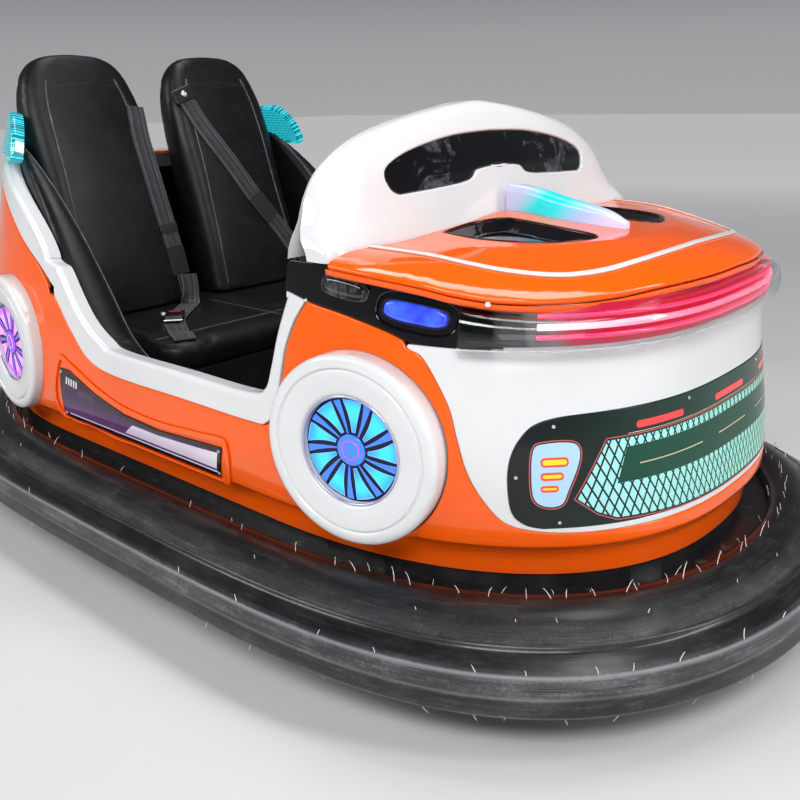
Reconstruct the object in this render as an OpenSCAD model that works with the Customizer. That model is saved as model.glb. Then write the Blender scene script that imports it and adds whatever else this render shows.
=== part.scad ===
// Two-seat bumper car: a rubber ring on a steel chassis, with a moulded body on top.
// X points forward, Y to the left and Z up. The origin is on the floor, under the middle.

/* [Bumper] */
// Length over the rubber bumper
bumper_l = 1950; // [1940:5:2100]
// Width over the rubber bumper
bumper_w = 1150; // [1140:5:1250]
// Height of the bumper's lower edge over the floor
bumper_z = 70; // [60:1:80]
// Height of the flat band round the bumper
band_h = 62; // [50:1:64]
// Radial width of the rubber ring
bumper_t = 120; // [110:1:122]
// Height of the rubber ring from its lower edge to its crown
bumper_h = 110; // [106:1:120]

/* [Chassis] */
// Height of the top of the frame tubes
frame_z = 148; // [144:1:152]
// Height and width of a square frame tube
tube = 40; // [30:1:42]
// Distance between the two long frame tubes, middle to middle
rail_w = 500; // [480:5:520]
// Thickness of the sheet steel deck
deck_t = 3; // [2:0.5:4]
// Thickness of the steel hoop that the rubber ring sits on
hoop_t = 6; // [4:0.5:10]
// Thickness of a wheel bracket's cheek
cheek_t = 6; // [4:0.5:7]

/* [Body] */
// Distance from the bumper's side in to the widest place of the moulded body
side_in = 120; // [116:1:124]
// Distance from the bumper's front edge back to the tip of the nose
nose_in = 139; // [133:1:149]
// Distance from the bumper's rear edge forward to the end of the tail
tail_in = 145; // [135:1:159]
// Wall thickness of the mouldings
wall = 6; // [4:0.5:7]
// Gap between neighbouring mouldings
gap = 0.3; // [0.2:0.1:0.6]
// Height of the black skirt under the body
skirt_h = 22; // [18:1:26]
// Height of the door sill
sill_z = 392; // [384:1:398]
// Width of the white rim round the cockpit
rim_w = 42; // [36:1:48]
// Thickness of the white rim round the cockpit
rim_t = 30; // [24:1:34]
// Height of the rim behind the seats
tail_z = 700; // [690:2:706]

/* [Hood] */
// Distance from the tip of the nose back to the hood's rear edge
hood_back = 411; // [401:1:416]
// Height of the hood's middle, without its rise, over the light bar's lower edge
hood_up = 86; // [83:1:90]
// Overhang of the hood's lip over the body
lip = 12; // [9:1:16]
// Rise of the hood from its lip to its middle
hood_rise = 42; // [36:1:48]

/* [Windshield arch] */
// Height of the arch over the floor
arch_z = 800; // [780:2:830]
// Length of the arch's foot along the car
arch_l = 90; // [85:1:93]
// Width of the dark windscreen
screen_w = 540; // [500:5:560]

/* [Lights] */
// Depth of the clear light bar in front of the nose
bar_d = 27; // [22:1:32]
// Height of the light bar's lower edge
bar_z = 499; // [495:1:505]
// Radius of a round wheel lamp
lamp_r = 76; // [70:1:80]
// Outer radius of a moulded wheel ring
cover_r = 137; // [132:1:142]
// Distance of the wheel lamps' middles below the light bar's lower edge
lamp_down = 151; // [147:1:155]

/* [Seats] */
// Height of the seat cushion's top
seat_z = 370; // [350:2:376]
// Height of the seat backs
back_z = 910; // [880:2:940]
// Distance from the widest place of the body in to the seats
seat_in = 135; // [131:1:150]
// Space between the two seat backs
seat_split = 60; // [50:1:80]

/* [Wheels] */
// Radius of the drive wheel
drive_r = 100; // [92:1:104]
// Width of the drive wheel
drive_w = 50; // [42:1:56]
// Distance from the bumper's front edge back to the drive wheel's steering axis
drive_in = 490; // [486:1:494]
// Radius of a rear wheel
rear_r = 62; // [56:1:66]
// Width of a rear wheel
rear_w = 36; // [30:1:40]
// Distance from the bumper's rear edge forward to the rear axle
axle_in = 415; // [405:2:425]
// Distance from the bumper's side in to the middle of a rear wheel
track_in = 255; // [246:1:260]

/* [Steering] */
// Radius of the steering wheel's rim, to the middle of the tube
wheel_r = 140; // [125:1:144]
// Radius of the steering wheel's tube
rim_r = 12; // [9:0.5:13]
// Angle between the steering column and the floor
column_a = 40; // [34:1:46]

/* [Hidden] */
$fn = 48;

// Places that follow the bumper: the body's ends and sides, the axles, and the hood and the arch
body_w = bumper_w - 2 * side_in;
nose_x = bumper_l / 2 - nose_in;
tail_x = bumper_l / 2 - tail_in;
drive_x = bumper_l / 2 - drive_in;
rear_x = bumper_l / 2 - axle_in;
rear_track = bumper_w - 2 * track_in;
hood_x = nose_x - hood_back;
arch_x = hood_x - arch_l;
lamp_z = bar_z - lamp_down;
seat_w = body_w - 2 * seat_in;
back_w = (seat_w - seat_split) / 2;
seat_pitch = back_w + seat_split;
// Reach of a cutting box, past every piece
far = 1200;
// Point given as its distance behind the nose and its height over the light bar's lower edge
function fore(p) = [nose_x - p[0], bar_z + p[1]];
function fores(pts) = [for (p = pts) fore(p)];
// Point given as its distance ahead of the tail and its height over the floor
function aft(p) = [p[0] - tail_x, p[1]];
function afts(pts) = [for (p = pts) aft(p)];

// Running clearance between a pin and its bore, and play between two flat faces
run = 0.05;
play = 0.5;

function sgn(v) = v < 0 ? -1 : 1;
function pw(v, e) = sgn(v) * pow(abs(v), e);
function flat(lists) = [for (l = lists) for (p = l) p];
function column(table, c) = [for (r = table) [r[0], r[c]]];
// Points of a smooth curve through the control points p, with n steps between two of them
function curve(p, n = 4) = concat([for (i = [0:len(p) - 2]) for (j = [0:n - 1])
    let(a = p[max(i - 1, 0)], b = p[i], c = p[i + 1], d = p[min(i + 2, len(p) - 1)], t = j / n)
    0.5 * (2 * b + (c - a) * t + (2 * a - 5 * b + 4 * c - d) * t * t
        + (3 * b - a - 3 * c + d) * t * t * t)], [p[len(p) - 1]]);

// Solid through rings of equal count that run counterclockwise, from the first to the last
module loft(rings) {
    m = len(rings[0]);
    k = len(rings);
    polyhedron(points = flat(rings), faces = concat(
        [for (i = [1:m - 2]) [0, i, i + 1]],
        [for (i = [1:m - 2]) [(k - 1) * m, (k - 1) * m + i + 1, (k - 1) * m + i]],
        [for (j = [0:k - 2], i = [0:m - 1]) let(a = j * m + i, b = j * m + (i + 1) % m)
            each [[a, a + m, b + m], [a, b + m, b]]]));
}

// Ring closed on itself, with the same closed profile at every station
module hoop(stations) {
    m = len(stations[0]);
    k = len(stations);
    polyhedron(points = flat(stations), faces = [for (j = [0:k - 1], i = [0:m - 1])
        let(a = j * m + i, b = (j + 1) % k * m + i, c = (j + 1) % k * m + (i + 1) % m, d = j * m + (i + 1) % m)
            each [[a, d, c], [a, c, b]]]);
}

// Prism across the car, from a side view outline of [x, z] points
module across(pts, grow = 0)
    translate([0, far, 0]) rotate([90, 0, 0]) linear_extrude(2 * far) offset(delta = grow) polygon(pts);

// Pieces are drawn for the right side, and mirrored for the left
module side(s) mirror([0, s > 0 ? 1 : 0, 0]) children();
// Box that holds all of the right side that is further out than a distance from the middle
module right_of(y) translate([-far, -far, 0]) cube([2 * far, far - y, far]);

// Bumper plan: a long oval whose stations lie closer together towards its ends
quarter = 18;
plan_long = 4.03;
plan_side = 2.1;
function quarter_a(k) = 90 * (1 - pow(1 - k / quarter, 1.5));
plan_angles = concat([for (k = [0:quarter - 1]) quarter_a(k)],
    [for (k = [0:quarter - 1]) 180 - quarter_a(quarter - k)],
    [for (k = [0:quarter - 1]) 180 + quarter_a(k)],
    [for (k = [0:quarter - 1]) 360 - quarter_a(quarter - k)]);
function plan_pt(a, d) = [(bumper_l / 2 - d) * pw(cos(a), 2 / plan_long),
    (bumper_w / 2 - d) * pw(sin(a), 2 / plan_side)];
function plan(d) = [for (a = plan_angles) plan_pt(a, d)];

deck_z = frame_z + deck_t;
body_z = deck_z + skirt_h;
// Body sections. Columns: height over the body's lower edge, then how far the side, the nose and
// the tail lie inside the greatest size, and the exponent of the nose's rounding
BODY = [[0, 40, 21, 30, 2.35], [43, 35, 16, 25, 2.35], [55, 10, 0, 10, 2.4], [127, 0, 8, 0, 2.5],
    [207, 5, 22, 5, 2.6], [287, 15, 30, 15, 2.6], [357, 29, 33, 30, 2.6], [427, 43, 41, 45, 2.6],
    [527, 60, 56, 75, 2.6], [617, 84, 70, 105, 2.6]];
// Where the nose and the tail start to bend, and the exponent of the tail's rounding
bend_front = nose_x - 586;
bend_rear = tail_x - 530;
tail_e = 3;
ring_n = 11;
function side_y(z) = body_w / 2 - lookup(z - body_z, column(BODY, 1));
function nose(z) = nose_x - lookup(z - body_z, column(BODY, 2));
function tail(z) = tail_x - lookup(z - body_z, column(BODY, 3));
function nose_e(z) = lookup(z - body_z, column(BODY, 4));
ring_a = [for (i = [-ring_n:ring_n]) 90 * pw(i / ring_n, 1.3)];
function body_ring(z, d) = let(b = side_y(z) + d, e = 2 / nose_e(z)) concat(
    [for (a = ring_a) [bend_front + (nose(z) + d - bend_front) * pw(cos(a), e), b * pw(sin(a), e), z]],
    [for (a = ring_a) [-bend_rear - (tail(z) + d - bend_rear) * pw(cos(a), 2 / tail_e),
        -b * pw(sin(a), 2 / tail_e), z]]);
// Half width of the body at a place along it
function body_y(x, z) = let(n = x > 0 ? nose_e(z) : tail_e,
    u = x > 0 ? max(0, x - bend_front) / (nose(z) - bend_front)
        : max(0, -x - bend_rear) / (tail(z) - bend_rear)) side_y(z) * pow(max(0, 1 - pow(u, n)), 1 / n);
module body(z0, z1, d = 0) loft([for (z = concat([z0],
    [for (r = BODY) if (r[0] + body_z > z0 && r[0] + body_z < z1) r[0] + body_z], [z1])) body_ring(z, d)]);
top_z = body_z + 617;
// Layer of the body between two depths under its surface
module skin(d0, d1, z0 = body_z, z1 = top_z) difference() {
    body(z0, z1, d0);
    body(z0 - 1, z1 + 1, d1);
}

// Side view outlines of [x, z] points
cut_z = 900;
door = curve(concat(afts([[-130, tail_z], [170, tail_z], [255, tail_z - 8], [403, 612], [485, 560],
    [547, 512], [624, 440], [690, sill_z + 12], [740, sill_z]]), [[(nose_x - tail_x) / 2 + 97, sill_z]],
    [[nose_x - 586, sill_z], [nose_x - 546, sill_z + 12]], fores([[532, -59], [518, 8], [491, 97]])));
door_space = concat(door, [[nose_x - 486, cut_z], [-far, cut_z]]);
rim_low = curve(concat(afts([[-130, tail_z - rim_w], [170, tail_z - rim_w], [255, tail_z - rim_w - 12],
    [390, 560], [485, 506], [547, 452], [598, sill_z + 12], [654, 364], [740, sill_z - rim_w]]),
    [[(nose_x - tail_x) / 2 + 97, sill_z - rim_w], [nose_x - 566, sill_z - rim_w]],
    fores([[524, -143], [503, -109], [492, -31], [478, 13], [460, 43]])));
rim_band = concat(rim_low, [fore([491, 50]), [nose_x - 491, cut_z], [-far, cut_z]]);
// Height of the body's upper edge under the arch, and where the dark side strips end in front
hood_mid = bar_z + hood_up;
shoulder_z = hood_mid + 9;
strip_x = nose_x - 181;
strip = concat(curve(concat(fores([[506, 53], [460, 42], [387, 30], [327, 16], [286, 3]]),
    [[nose_x - 236, bar_z]])), [[strip_x, bar_z], [strip_x, shoulder_z + 46], [arch_x + 10, shoulder_z + 46],
    [arch_x, shoulder_z], [arch_x - 5, shoulder_z]]);
nose_side = concat(curve(fores([[336, 141], [316, 61], [298, 3], [271, -15], [237, -69], [222, -115],
    [208, -161], [188, -201], [164, -231], [126, -243], [76, -247]])), fores([[-64, -247], [-64, 141]]));
grille = curve(fores([[-64, -83], [76, -83], [130, -89], [152, -109], [163, -149], [160, -207],
    [148, -229], [126, -237], [-64, -237]]));
// Side plate. Columns: share of its length from the rear, height
PLATE = [[0, 236], [0.964, 236], [1, 292], [0.871, 288], [0.649, 281], [0.438, 286], [0.252, 306],
    [0.085, 334], [0.024, 334]];
plate_rear = 538 - tail_x;
plate_front = nose_x - 632;
plate = [for (p = PLATE) [plate_rear + p[0] * (plate_front - plate_rear), p[1]]];
tail_lamp_side = curve(afts([[202, tail_z - 30], [204, tail_z + 42], [224, tail_z + 78],
    [258, tail_z + 94], [294, tail_z + 88], [324, tail_z + 58], [338, tail_z + 16], [342, tail_z - 50]]));

// Hood: outlines that shrink towards the middle of the rear edge
hood_e = 2.05;
hood_n = 14;
// Height of the lip over the hood's middle without its rise, at angles from the nose to the side
LIP = [[0, -12], [23, -18], [33, -24], [45, -27], [54, -24], [63, -15], [70, -5], [79, 3], [90, 9]];
// Hood sections. Columns: share of the way in, and height over the lip as a share of the rise
HOOD = [[0.05, -0.28], [0.012, -0.28], [0, -0.12], [0.004, 0.07], [0.03, 0.21], [0.07, 0.33],
    [0.14, 0.45], [0.25, 0.52], [0.37, 0.57], [0.55, 0.69], [0.75, 0.83], [0.92, 1]];
lip_z = hood_mid - 15;
hood_l = nose(lip_z) + lip - hood_x;
hood_w = side_y(lip_z) + lip * 0.75;
function hood_base(a, v) = hood_mid + lookup(abs(a), LIP) * (1 - min(1, 3 * v));
// Ring of the hood lowered by low, reaching back behind its rear edge and drawn in by in all round
function hood_ring(row, low = 0, back = 0, in = 0) = let(v = row[0], e = 2 / hood_e, k = 1 - v,
    l = (hood_l - in) * k, w = (hood_w - in) * k, h = row[1] * hood_rise - low) concat(
    [[hood_x - back, -w, hood_base(90, v) + h]],
    [for (i = [-hood_n:hood_n]) let(a = 88 * i / hood_n)
        [hood_x + l * pw(cos(a), e), w * pw(sin(a), e), hood_base(a, v) + h]],
    [[hood_x - back, w, hood_base(90, v) + h]]);
function hood_z(x, y) = let(u = max(0, x - hood_x) / hood_l, w = abs(y) / hood_w,
    k = pow(pow(u, hood_e) + pow(w, hood_e), 1 / hood_e),
    a = k > 0 ? acos(min(1, pow(u / k, hood_e / 2))) : 0)
    hood_base(a, 1 - k) + hood_rise * lookup(1 - k, [for (i = [2:len(HOOD) - 1]) HOOD[i]]);
module hood_solid(low = 0, back = 0, in = 0) loft([for (r = HOOD) hood_ring(r, low, back, in)]);
// All the space that the hood and the arch take: panels below end under them, a gap away
module hood_space() {
    difference() {
        loft([for (r = [[0.9, gap], [0.3, gap], [0.1, gap], [-0.05, gap], [-0.05, -300]])
            hood_ring([r[0], HOOD[0][1]], r[1], 1)]);
        hood_solid(wall + gap, 5, wall + gap);
    }
    translate([arch_x, -far, shoulder_z]) cube([hood_x - arch_x + 1, 2 * far, far]);
}
vent_low = 1;
// Plan of a vent. Columns: distance behind the nose, place across
VENT = [[396, -196], [400, -120], [366, -70], [276, -72], [199, -88], [214, -152], [256, -190],
    [325, -208], [396, -196]];
module vent_prism(grow = 0) linear_extrude(far) offset(delta = grow)
    polygon(curve([for (p = VENT) [nose_x - p[0], p[1]]]));

// Arch sections. Columns: share of its height, half width as a share of the hood's, inset from the
// front, and corner sharpness
ARCH = [[0, 0.967, 0.5, 14], [0.06, 0.962, 1, 12], [0.13, 0.948, 5, 8], [0.23, 0.918, 11, 5],
    [0.39, 0.887, 20, 4], [0.54, 0.838, 27, 3.6], [0.68, 0.742, 37, 3.4], [0.79, 0.618, 45, 3.2],
    [0.87, 0.466, 52, 3], [0.95, 0.244, 61, 3], [0.99, 0.103, 70, 3]];
arch_low = shoulder_z + gap;
module arch_solid(dx = 0) translate([dx, 0, 0]) loft([for (r = ARCH)
    let(z = arch_low + r[0] * (arch_z - arch_low), e = 2 / r[3], t = hood_x - gap - r[2] - arch_x)
        [for (i = [-12:12]) [arch_x + t * pw(cos(7.5 * i), e), hood_w * r[1] * pw(sin(7.5 * i), e), z]]]);
// Front view of half the windscreen. Columns: share of its half width, height below the arch's top
SCREEN = [[0, 47], [0.38, 51], [0.74, 66], [0.95, 84], [1, 100], [0.97, 120], [0.91, 128], [0.57, 125],
    [0.31, 120], [0.22, 106], [0, 101]];
screen = concat([for (p = SCREEN) [p[0] * screen_w / 2, arch_z - p[1]]],
    [for (i = [len(SCREEN) - 2:-1:1]) [-SCREEN[i][0] * screen_w / 2, arch_z - SCREEN[i][1]]]);
module screen_prism(grow = 0)
    rotate([90, 0, 90]) linear_extrude(far) offset(delta = grow) polygon(screen);
screen_t = 5;

// Wheel covers: the place of each pair's middles along the car
front_x = nose_x - 366;
back_x = 340 - tail_x;
cover_back = 38;
// A cover's axis stands square to the body's side
turn_step = 60;
function cover_turn(x) = atan((body_y(x - turn_step, lamp_z) - body_y(x + turn_step, lamp_z)) / (2 * turn_step));
module at_cover(x) translate([x, -body_y(x, lamp_z), lamp_z]) rotate([0, 0, cover_turn(x)])
    rotate([90, 0, 0]) children();
module cover_holes() for (x = [front_x, back_x], s = [-1, 1]) side(s) at_cover(x)
    translate([0, 0, -cover_back - 1]) cylinder(h = far, r = cover_r + gap);

module bumper_ring() color([0.09, 0.09, 0.1]) {
    top = bumper_z + band_h;
    crown = bumper_z + bumper_h;
    mid = bumper_z + band_h / 2;
    profile = [[3, bumper_z], [0, bumper_z + 4], [0, mid - 3], [3, mid], [0, mid + 3], [0, top - 4], [4, top],
        [30, top + 14], [34, top + 20], [50, crown - 18], [70, crown - 5], [90, crown],
        [bumper_t - 9, crown - 4], [bumper_t - 1, crown - 14], [bumper_t, crown - 26],
        [bumper_t, bumper_z + 18], [bumper_t - 12, bumper_z]];
    hoop([for (a = plan_angles) [for (p = profile) [each plan_pt(a, p[0]), p[1]]]]);
}

bracket_x = 80;
middle_x = -100;
hoop_low = 15;
rear_pin_r = 8;
wheel_play = 6;
bridge_t = 8;
bridge_z = 2 * drive_r + 40;
bridge_l = 120;
pin_r = 20;
module chassis_frame() color([0.15, 0.15, 0.16]) {
    in = bumper_t + gap + hoop_t;
    translate([0, 0, bumper_z + hoop_low]) linear_extrude(frame_z - bumper_z - hoop_low) difference() {
        polygon(plan(bumper_t + gap));
        polygon(plan(in));
    }
    intersection() {
        translate([0, 0, frame_z - tube]) linear_extrude(tube) polygon(plan(in - 1));
        union() {
            for (y = [-1, 1]) translate([-bumper_l / 2, y * rail_w / 2 - tube / 2, 0])
                cube([bumper_l, tube, frame_z]);
            for (x = [-rear_x - bracket_x - tube, -rear_x + bracket_x, middle_x, drive_x - 245, drive_x + 175])
                translate([x, -bumper_w / 2, 0]) cube([tube, bumper_w, frame_z]);
        }
    }
    for (s = [-1, 1], t = [-1, 1])
        translate([-rear_x, s * rear_track / 2 + t * (rear_w / 2 + wheel_play + cheek_t / 2), 0])
        rotate([90, 0, 0]) translate([0, 0, -cheek_t / 2]) linear_extrude(cheek_t) polygon([
            [-2 * rear_pin_r, rear_r - 14], [2 * rear_pin_r, rear_r - 14], [bracket_x, frame_z - tube], [bracket_x, frame_z], [-bracket_x, frame_z],
            [-bracket_x, frame_z - tube]]);
    for (s = [-1, 1]) translate([-rear_x, s * rear_track / 2, rear_r]) rotate([90, 0, 0])
        cylinder(h = rear_w + 2 * (wheel_play + cheek_t), r = rear_pin_r, center = true);
    difference() {
        union() {
            translate([drive_x - bridge_l / 2, -rail_w / 2 - bridge_t / 2, bridge_z])
                cube([bridge_l, rail_w + bridge_t, bridge_t]);
            for (s = [-1, 1]) translate([drive_x - bridge_l / 2, s * rail_w / 2 - bridge_t / 2, frame_z])
                cube([bridge_l, bridge_t, bridge_z - frame_z]);
        }
        translate([drive_x, 0, bridge_z - 1]) cylinder(h = bridge_t + 2, r = pin_r + run);
    }
}

opening_r = 148;
module floor_pan() color([0.1, 0.1, 0.11]) translate([0, 0, frame_z]) linear_extrude(deck_t) difference() {
    polygon(plan(bumper_t + gap));
    translate([drive_x, 0]) circle(r = opening_r, $fn = 64);
    for (s = [-1, 1]) translate([drive_x - bridge_l / 2 - gap, s * rail_w / 2 - bridge_t / 2 - gap])
        square([bridge_l + 2 * gap, bridge_t + 2 * gap]);
}

skirt_in = 2;
module body_skirt() color([0.06, 0.06, 0.06]) skin(-skirt_in, -skirt_in - wall, deck_z, body_z);

module body_shell() color([1, 0.38, 0.03]) difference() {
    skin(0, -wall);
    across(door_space);
    across(rim_band, gap);
    across(nose_side, gap);
    across(strip, gap);
    hood_space();
    cover_holes();
}

module nose_panel() color([0.93, 0.93, 0.95]) difference() {
    intersection() {
        skin(0, -wall);
        across(nose_side);
    }
    across(strip, gap);
    hood_space();
    cover_holes();
    intersection() {
        skin(5, -grille_t - gap, body_z, bar_z);
        across(grille, gap);
    }
}

grille_t = 3;
module grille_panel() color([0.02, 0.12, 0.09]) intersection() {
    skin(1, -grille_t, body_z, bar_z);
    across(grille);
}

module hood_cap() color([1, 0.38, 0.03]) difference() {
    intersection() {
        hood_solid(0, 4);
        translate([hood_x, -far, 0]) cube([far, 2 * far, far]);
    }
    hood_solid(wall, 5, wall);
    for (s = [-1, 1]) side(s) vent_prism(gap);
}

module hood_vent(s) color([0.03, 0.03, 0.03]) side(s) difference() {
    intersection() {
        vent_prism();
        hood_solid(vent_low);
    }
    hood_solid(wall, 5);
}

module windshield_arch() color([0.93, 0.93, 0.95]) difference() {
    arch_solid();
    difference() {
        screen_prism(gap);
        arch_solid(-screen_t);
    }
}

module windscreen() color([0.03, 0.03, 0.04]) difference() {
    intersection() {
        arch_solid(-1);
        screen_prism();
    }
    arch_solid(-screen_t + gap);
}

// Light blade sections. Columns: place, half width, height of the top over the hood
BLADE = [[0, 21, 44], [95, 19, 33], [175, 15, 22], [208, 7, 10]];
module light_blade() color([0.75, 0.95, 1]) difference() {
    loft([for (r = BLADE) let(x = hood_x + gap + 3 + r[0], z = hood_z(x, 0), w = r[1], h = r[2])
        [for (p = [[-0.8, -0.4], [0.8, -0.4], [1, 0.3], [0.85, 0.75], [0.45, 1], [-0.45, 1], [-0.85, 0.75],
            [-1, 0.3]]) [x, p[0] * w, z + p[1] * h]]]);
    hood_solid(-gap);
}

bar_a = 56;
bar_steps = 16;
bar_wall = 3;
function bar_pt(a, z, d) = let(e = 2 / nose_e(z)) [bend_front + (nose(z) + d - bend_front) * pw(cos(a), e),
    (side_y(z) + d) * pw(sin(a), e), z];
function bar_top(a) = let(p = bar_pt(a, lip_z, 0)) hood_base(atan2(p[1] / hood_w, (p[0] - hood_x) / hood_l), 0)
    + HOOD[0][1] * hood_rise - 2;
function bar_ring(a, i) = let(t = bar_top(a) - i, b = bar_z + i, m = (t + b) / 2, h = (t - b) / 2)
    [for (q = [[i, 1], [0.7 * bar_d - i, 1], [bar_d - i, 0.4], [bar_d - i, -0.4], [0.75 * bar_d - i, -1],
        [i, -1]]) let(z = m + q[1] * h) bar_pt(a, z, q[0])];
module light_bar() color([0.8, 0.85, 0.9]) difference() {
    loft([for (i = [-bar_steps:bar_steps]) bar_ring(bar_a * i / bar_steps, 0)]);
    loft([for (i = [-bar_steps:bar_steps]) bar_ring((bar_a - 1) * i / bar_steps, bar_wall)]);
    body(bar_z - 10, shoulder_z, gap);
}

module light_bar_leds() color([1, 0.1, 0.2]) loft([for (i = [-bar_steps:bar_steps])
    let(a = (bar_a - 6) * i / bar_steps) [for (q = [[4, 42], [10, 42], [10, 18], [4, 18]])
        bar_pt(a, bar_z + q[1], q[0])]]);

strip_in = 2;
module side_strip(s) color([0.03, 0.03, 0.04]) side(s) difference() {
    intersection() {
        skin(-strip_in, -strip_in - wall, lamp_z);
        across(strip);
        right_of(0);
    }
    hood_space();
}

lens = fore([289, 41]);
lens_l = 88;
lens_h = 25;
lens_tilt = 8;
module side_lamp(s) color([0.1, 0.15, 1]) side(s) intersection() {
    skin(5, -strip_in + gap, bar_z, shoulder_z);
    translate([lens[0], 0, lens[1]]) rotate([90, lens_tilt, 0]) scale([lens_l / 2, lens_h / 2, 1])
        cylinder(h = far, r = 1, $fn = 96);
}

module cockpit_rim(s) color([0.93, 0.93, 0.95]) side(s) difference() {
    intersection() {
        skin(0, -rim_t);
        across(rim_band);
        right_of(gap / 2);
    }
    across(door_space);
    across(strip, gap);
    hood_space();
    cover_holes();
}

plate_t = 3;
module side_plate(s) color([0.35, 0.25, 0.5]) side(s) intersection() {
    skin(plate_t, gap);
    rotate([90, 0, 0]) linear_extrude(far) polygon(plate);
}

// Wheel ring section. Columns: distance inside the ring's outer radius, height over the lamp's bed
RING = [[6, -24], [0, -24], [0, 20], [3, 24], [8, 26], [26, 26], [28, 21], [42, 19], [44, 14]];
lamp_bed = -14;
lamp_low = 5;
module wheel_ring(s, x) color([0.93, 0.93, 0.95]) side(s) at_cover(x) rotate_extrude($fn = 72) {
    seat = lamp_r + gap;
    polygon(concat([for (p = RING) [cover_r - p[0], lamp_bed + p[1]]],
        [for (p = [[seat + 8, 12], [seat + 4, 14], [seat, 12], [seat, lamp_low], [0, lamp_low], [0, 0]])
            [p[0], lamp_bed + p[1]]], [[cover_r - RING[0][0], lamp_bed]]));
}

module wheel_lamp(s, x) color([0.1, 0.5, 1]) side(s) at_cover(x) translate([0, 0, lamp_bed + lamp_low + gap])
    rotate_extrude($fn = 72) polygon([[0, 0], [lamp_r, 0], [lamp_r, 4], [lamp_r - 3, 6], [0, 9]]);

module tail_lamp(s) color([0.3, 0.9, 1]) side(s) intersection() {
    skin(8, -24, tail_z - 60);
    across(tail_lamp_side);
    across(door_space, -gap);
    right_of(seat_w / 2 + gap);
}

module rear_deck() color([1, 0.38, 0.03]) intersection() {
    body(tail_z - 12, tail_z - wall, -rim_t - gap);
    translate([-far, -far, 0]) cube([far - back_rear - wall, 2 * far, far]);
}

box_x = tail_x - 230;
seat_front = tail_x - 710;
seat_h = 60;
module seat_box() color([0.05, 0.05, 0.05]) difference() {
    translate([-box_x, -seat_w / 2, deck_z]) cube([box_x - seat_front, seat_w, seat_z - seat_h - deck_z]);
    translate([-box_x + wall, -seat_w / 2 + wall, deck_z - 1])
        cube([box_x - seat_front - 2 * wall, seat_w - 2 * wall, seat_z - seat_h - deck_z - wall + 1]);
}

// Rounded cushion outline: a full oval of exponent e between two x values
function pad(x0, x1, w, y, z, e = 5, n = 24) = [for (i = [0:n - 1]) let(a = 360 * (i + 0.5) / n)
    [(x0 + x1) / 2 + (x1 - x0) / 2 * pw(cos(a), 2 / e), y + w * pw(sin(a), 2 / e), z]];
module seat_cushion() color([0.05, 0.05, 0.05]) {
    low = seat_z - seat_h + gap;
    loft([for (r = [[0, 4], [10, 0], [44, 0], [54, 6], [seat_h - gap, 20]])
        pad(-box_x - 20 + r[1], -seat_front - r[1], seat_w / 2 - r[1], 0, low + r[0], 9, 40)]);
}

// Seat back sections. Columns: share of its height, distance of its front and its back ahead of the
// tail, share of its width
BACK = [[0, 410, 295, 1], [0.2, 385, 270, 1], [0.42, 350, 240, 1], [0.61, 320, 218, 1],
    [0.76, 292, 202, 0.97], [0.89, 265, 192, 0.86], [0.96, 250, 194, 0.68], [1, 238, 202, 0.36]];
back_rear = tail_x - 190;
back_e = 4.5;
function back_h(r) = seat_z + gap + r[0] * (back_z - seat_z - gap);
module seat_back(s) color([0.05, 0.05, 0.05]) side(s) loft([for (r = BACK)
    pad(r[2] - tail_x, r[1] - tail_x, back_w / 2 * r[3], -seat_pitch / 2, back_h(r), back_e)]);

bolster = concat(curve(afts([[205, 728], [270, 735], [378, 662], [468, 575], [550, 472], [612, 388],
    [670, 348], [694, 322]])), afts([[696, deck_z], [205, deck_z]]));
module side_bolster(s) color([0.05, 0.05, 0.05]) side(s) difference() {
    intersection() {
        body(deck_z, top_z, -rim_t - gap);
        across(bolster);
        right_of(seat_w / 2 + gap);
    }
    cover_holes();
}

belt_w = 45;
belt_t = 3;
belt_steps = 6;
belt_parts = 4;
function back_at(z, c) = lookup(z, [for (r = BACK) [back_h(r), r[c]]]);
// Place of a seat back's front at a height and a distance from the middle of the car
function seat_face(z, y) = let(f = back_at(z, 1), r = back_at(z, 2),
    t = min(0.93, abs(abs(y) - seat_pitch / 2) / (back_w / 2 * back_at(z, 3))))
    (f + r) / 2 - tail_x + (f - r) / 2 * pow(1 - pow(t, back_e), 1 / back_e);
// Belt runs over the seat backs. Columns: height, side as a share of the seats' half width
BELTS = [[[430, -0.18], [500, -0.19], [600, -0.21], [720, -0.225], [800, -0.2]],
    [[445, 0.9], [490, 0.815], [570, 0.64], [665, 0.47], [760, 0.3], [830, 0.22]]];
module seat_belt(k) color([0.12, 0.12, 0.13]) {
    line = BELTS[k];
    low = line[0][0];
    high = line[len(line) - 1][0];
    rows = concat([high], [for (i = [len(BACK) - 1:-1:0]) let(h = back_h(BACK[i]))
        if (h > low && h < high) h], [low]);
    stations = concat([for (i = [0:len(rows) - 2], j = [0:belt_parts - 1])
        rows[i] + (rows[i + 1] - rows[i]) * j / belt_parts], [low]);
    loft([for (z = stations) let(mid = lookup(z, line) * seat_w / 2, place = [for (i = [0:belt_steps])
        let(y = mid + (i / belt_steps - 0.5) * belt_w) [seat_face(z, y) + 2 * gap, y]]) concat(
            [for (p = place) [p[0], p[1], z]],
            [for (i = [belt_steps:-1:0]) [place[i][0] + belt_t, place[i][1], z]])]);
}

dash_play = 3;
module dash_panel() color([0.1, 0.1, 0.1]) difference() {
    intersection() {
        body(deck_z, top_z, -rim_t - dash_play);
        translate([arch_x - wall - gap, -far, deck_z]) cube([wall, 2 * far, shoulder_z + 21 - deck_z]);
    }
    at_wheel() translate([0, 0, -far]) cylinder(h = far, r = column_r + gap);
}

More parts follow.
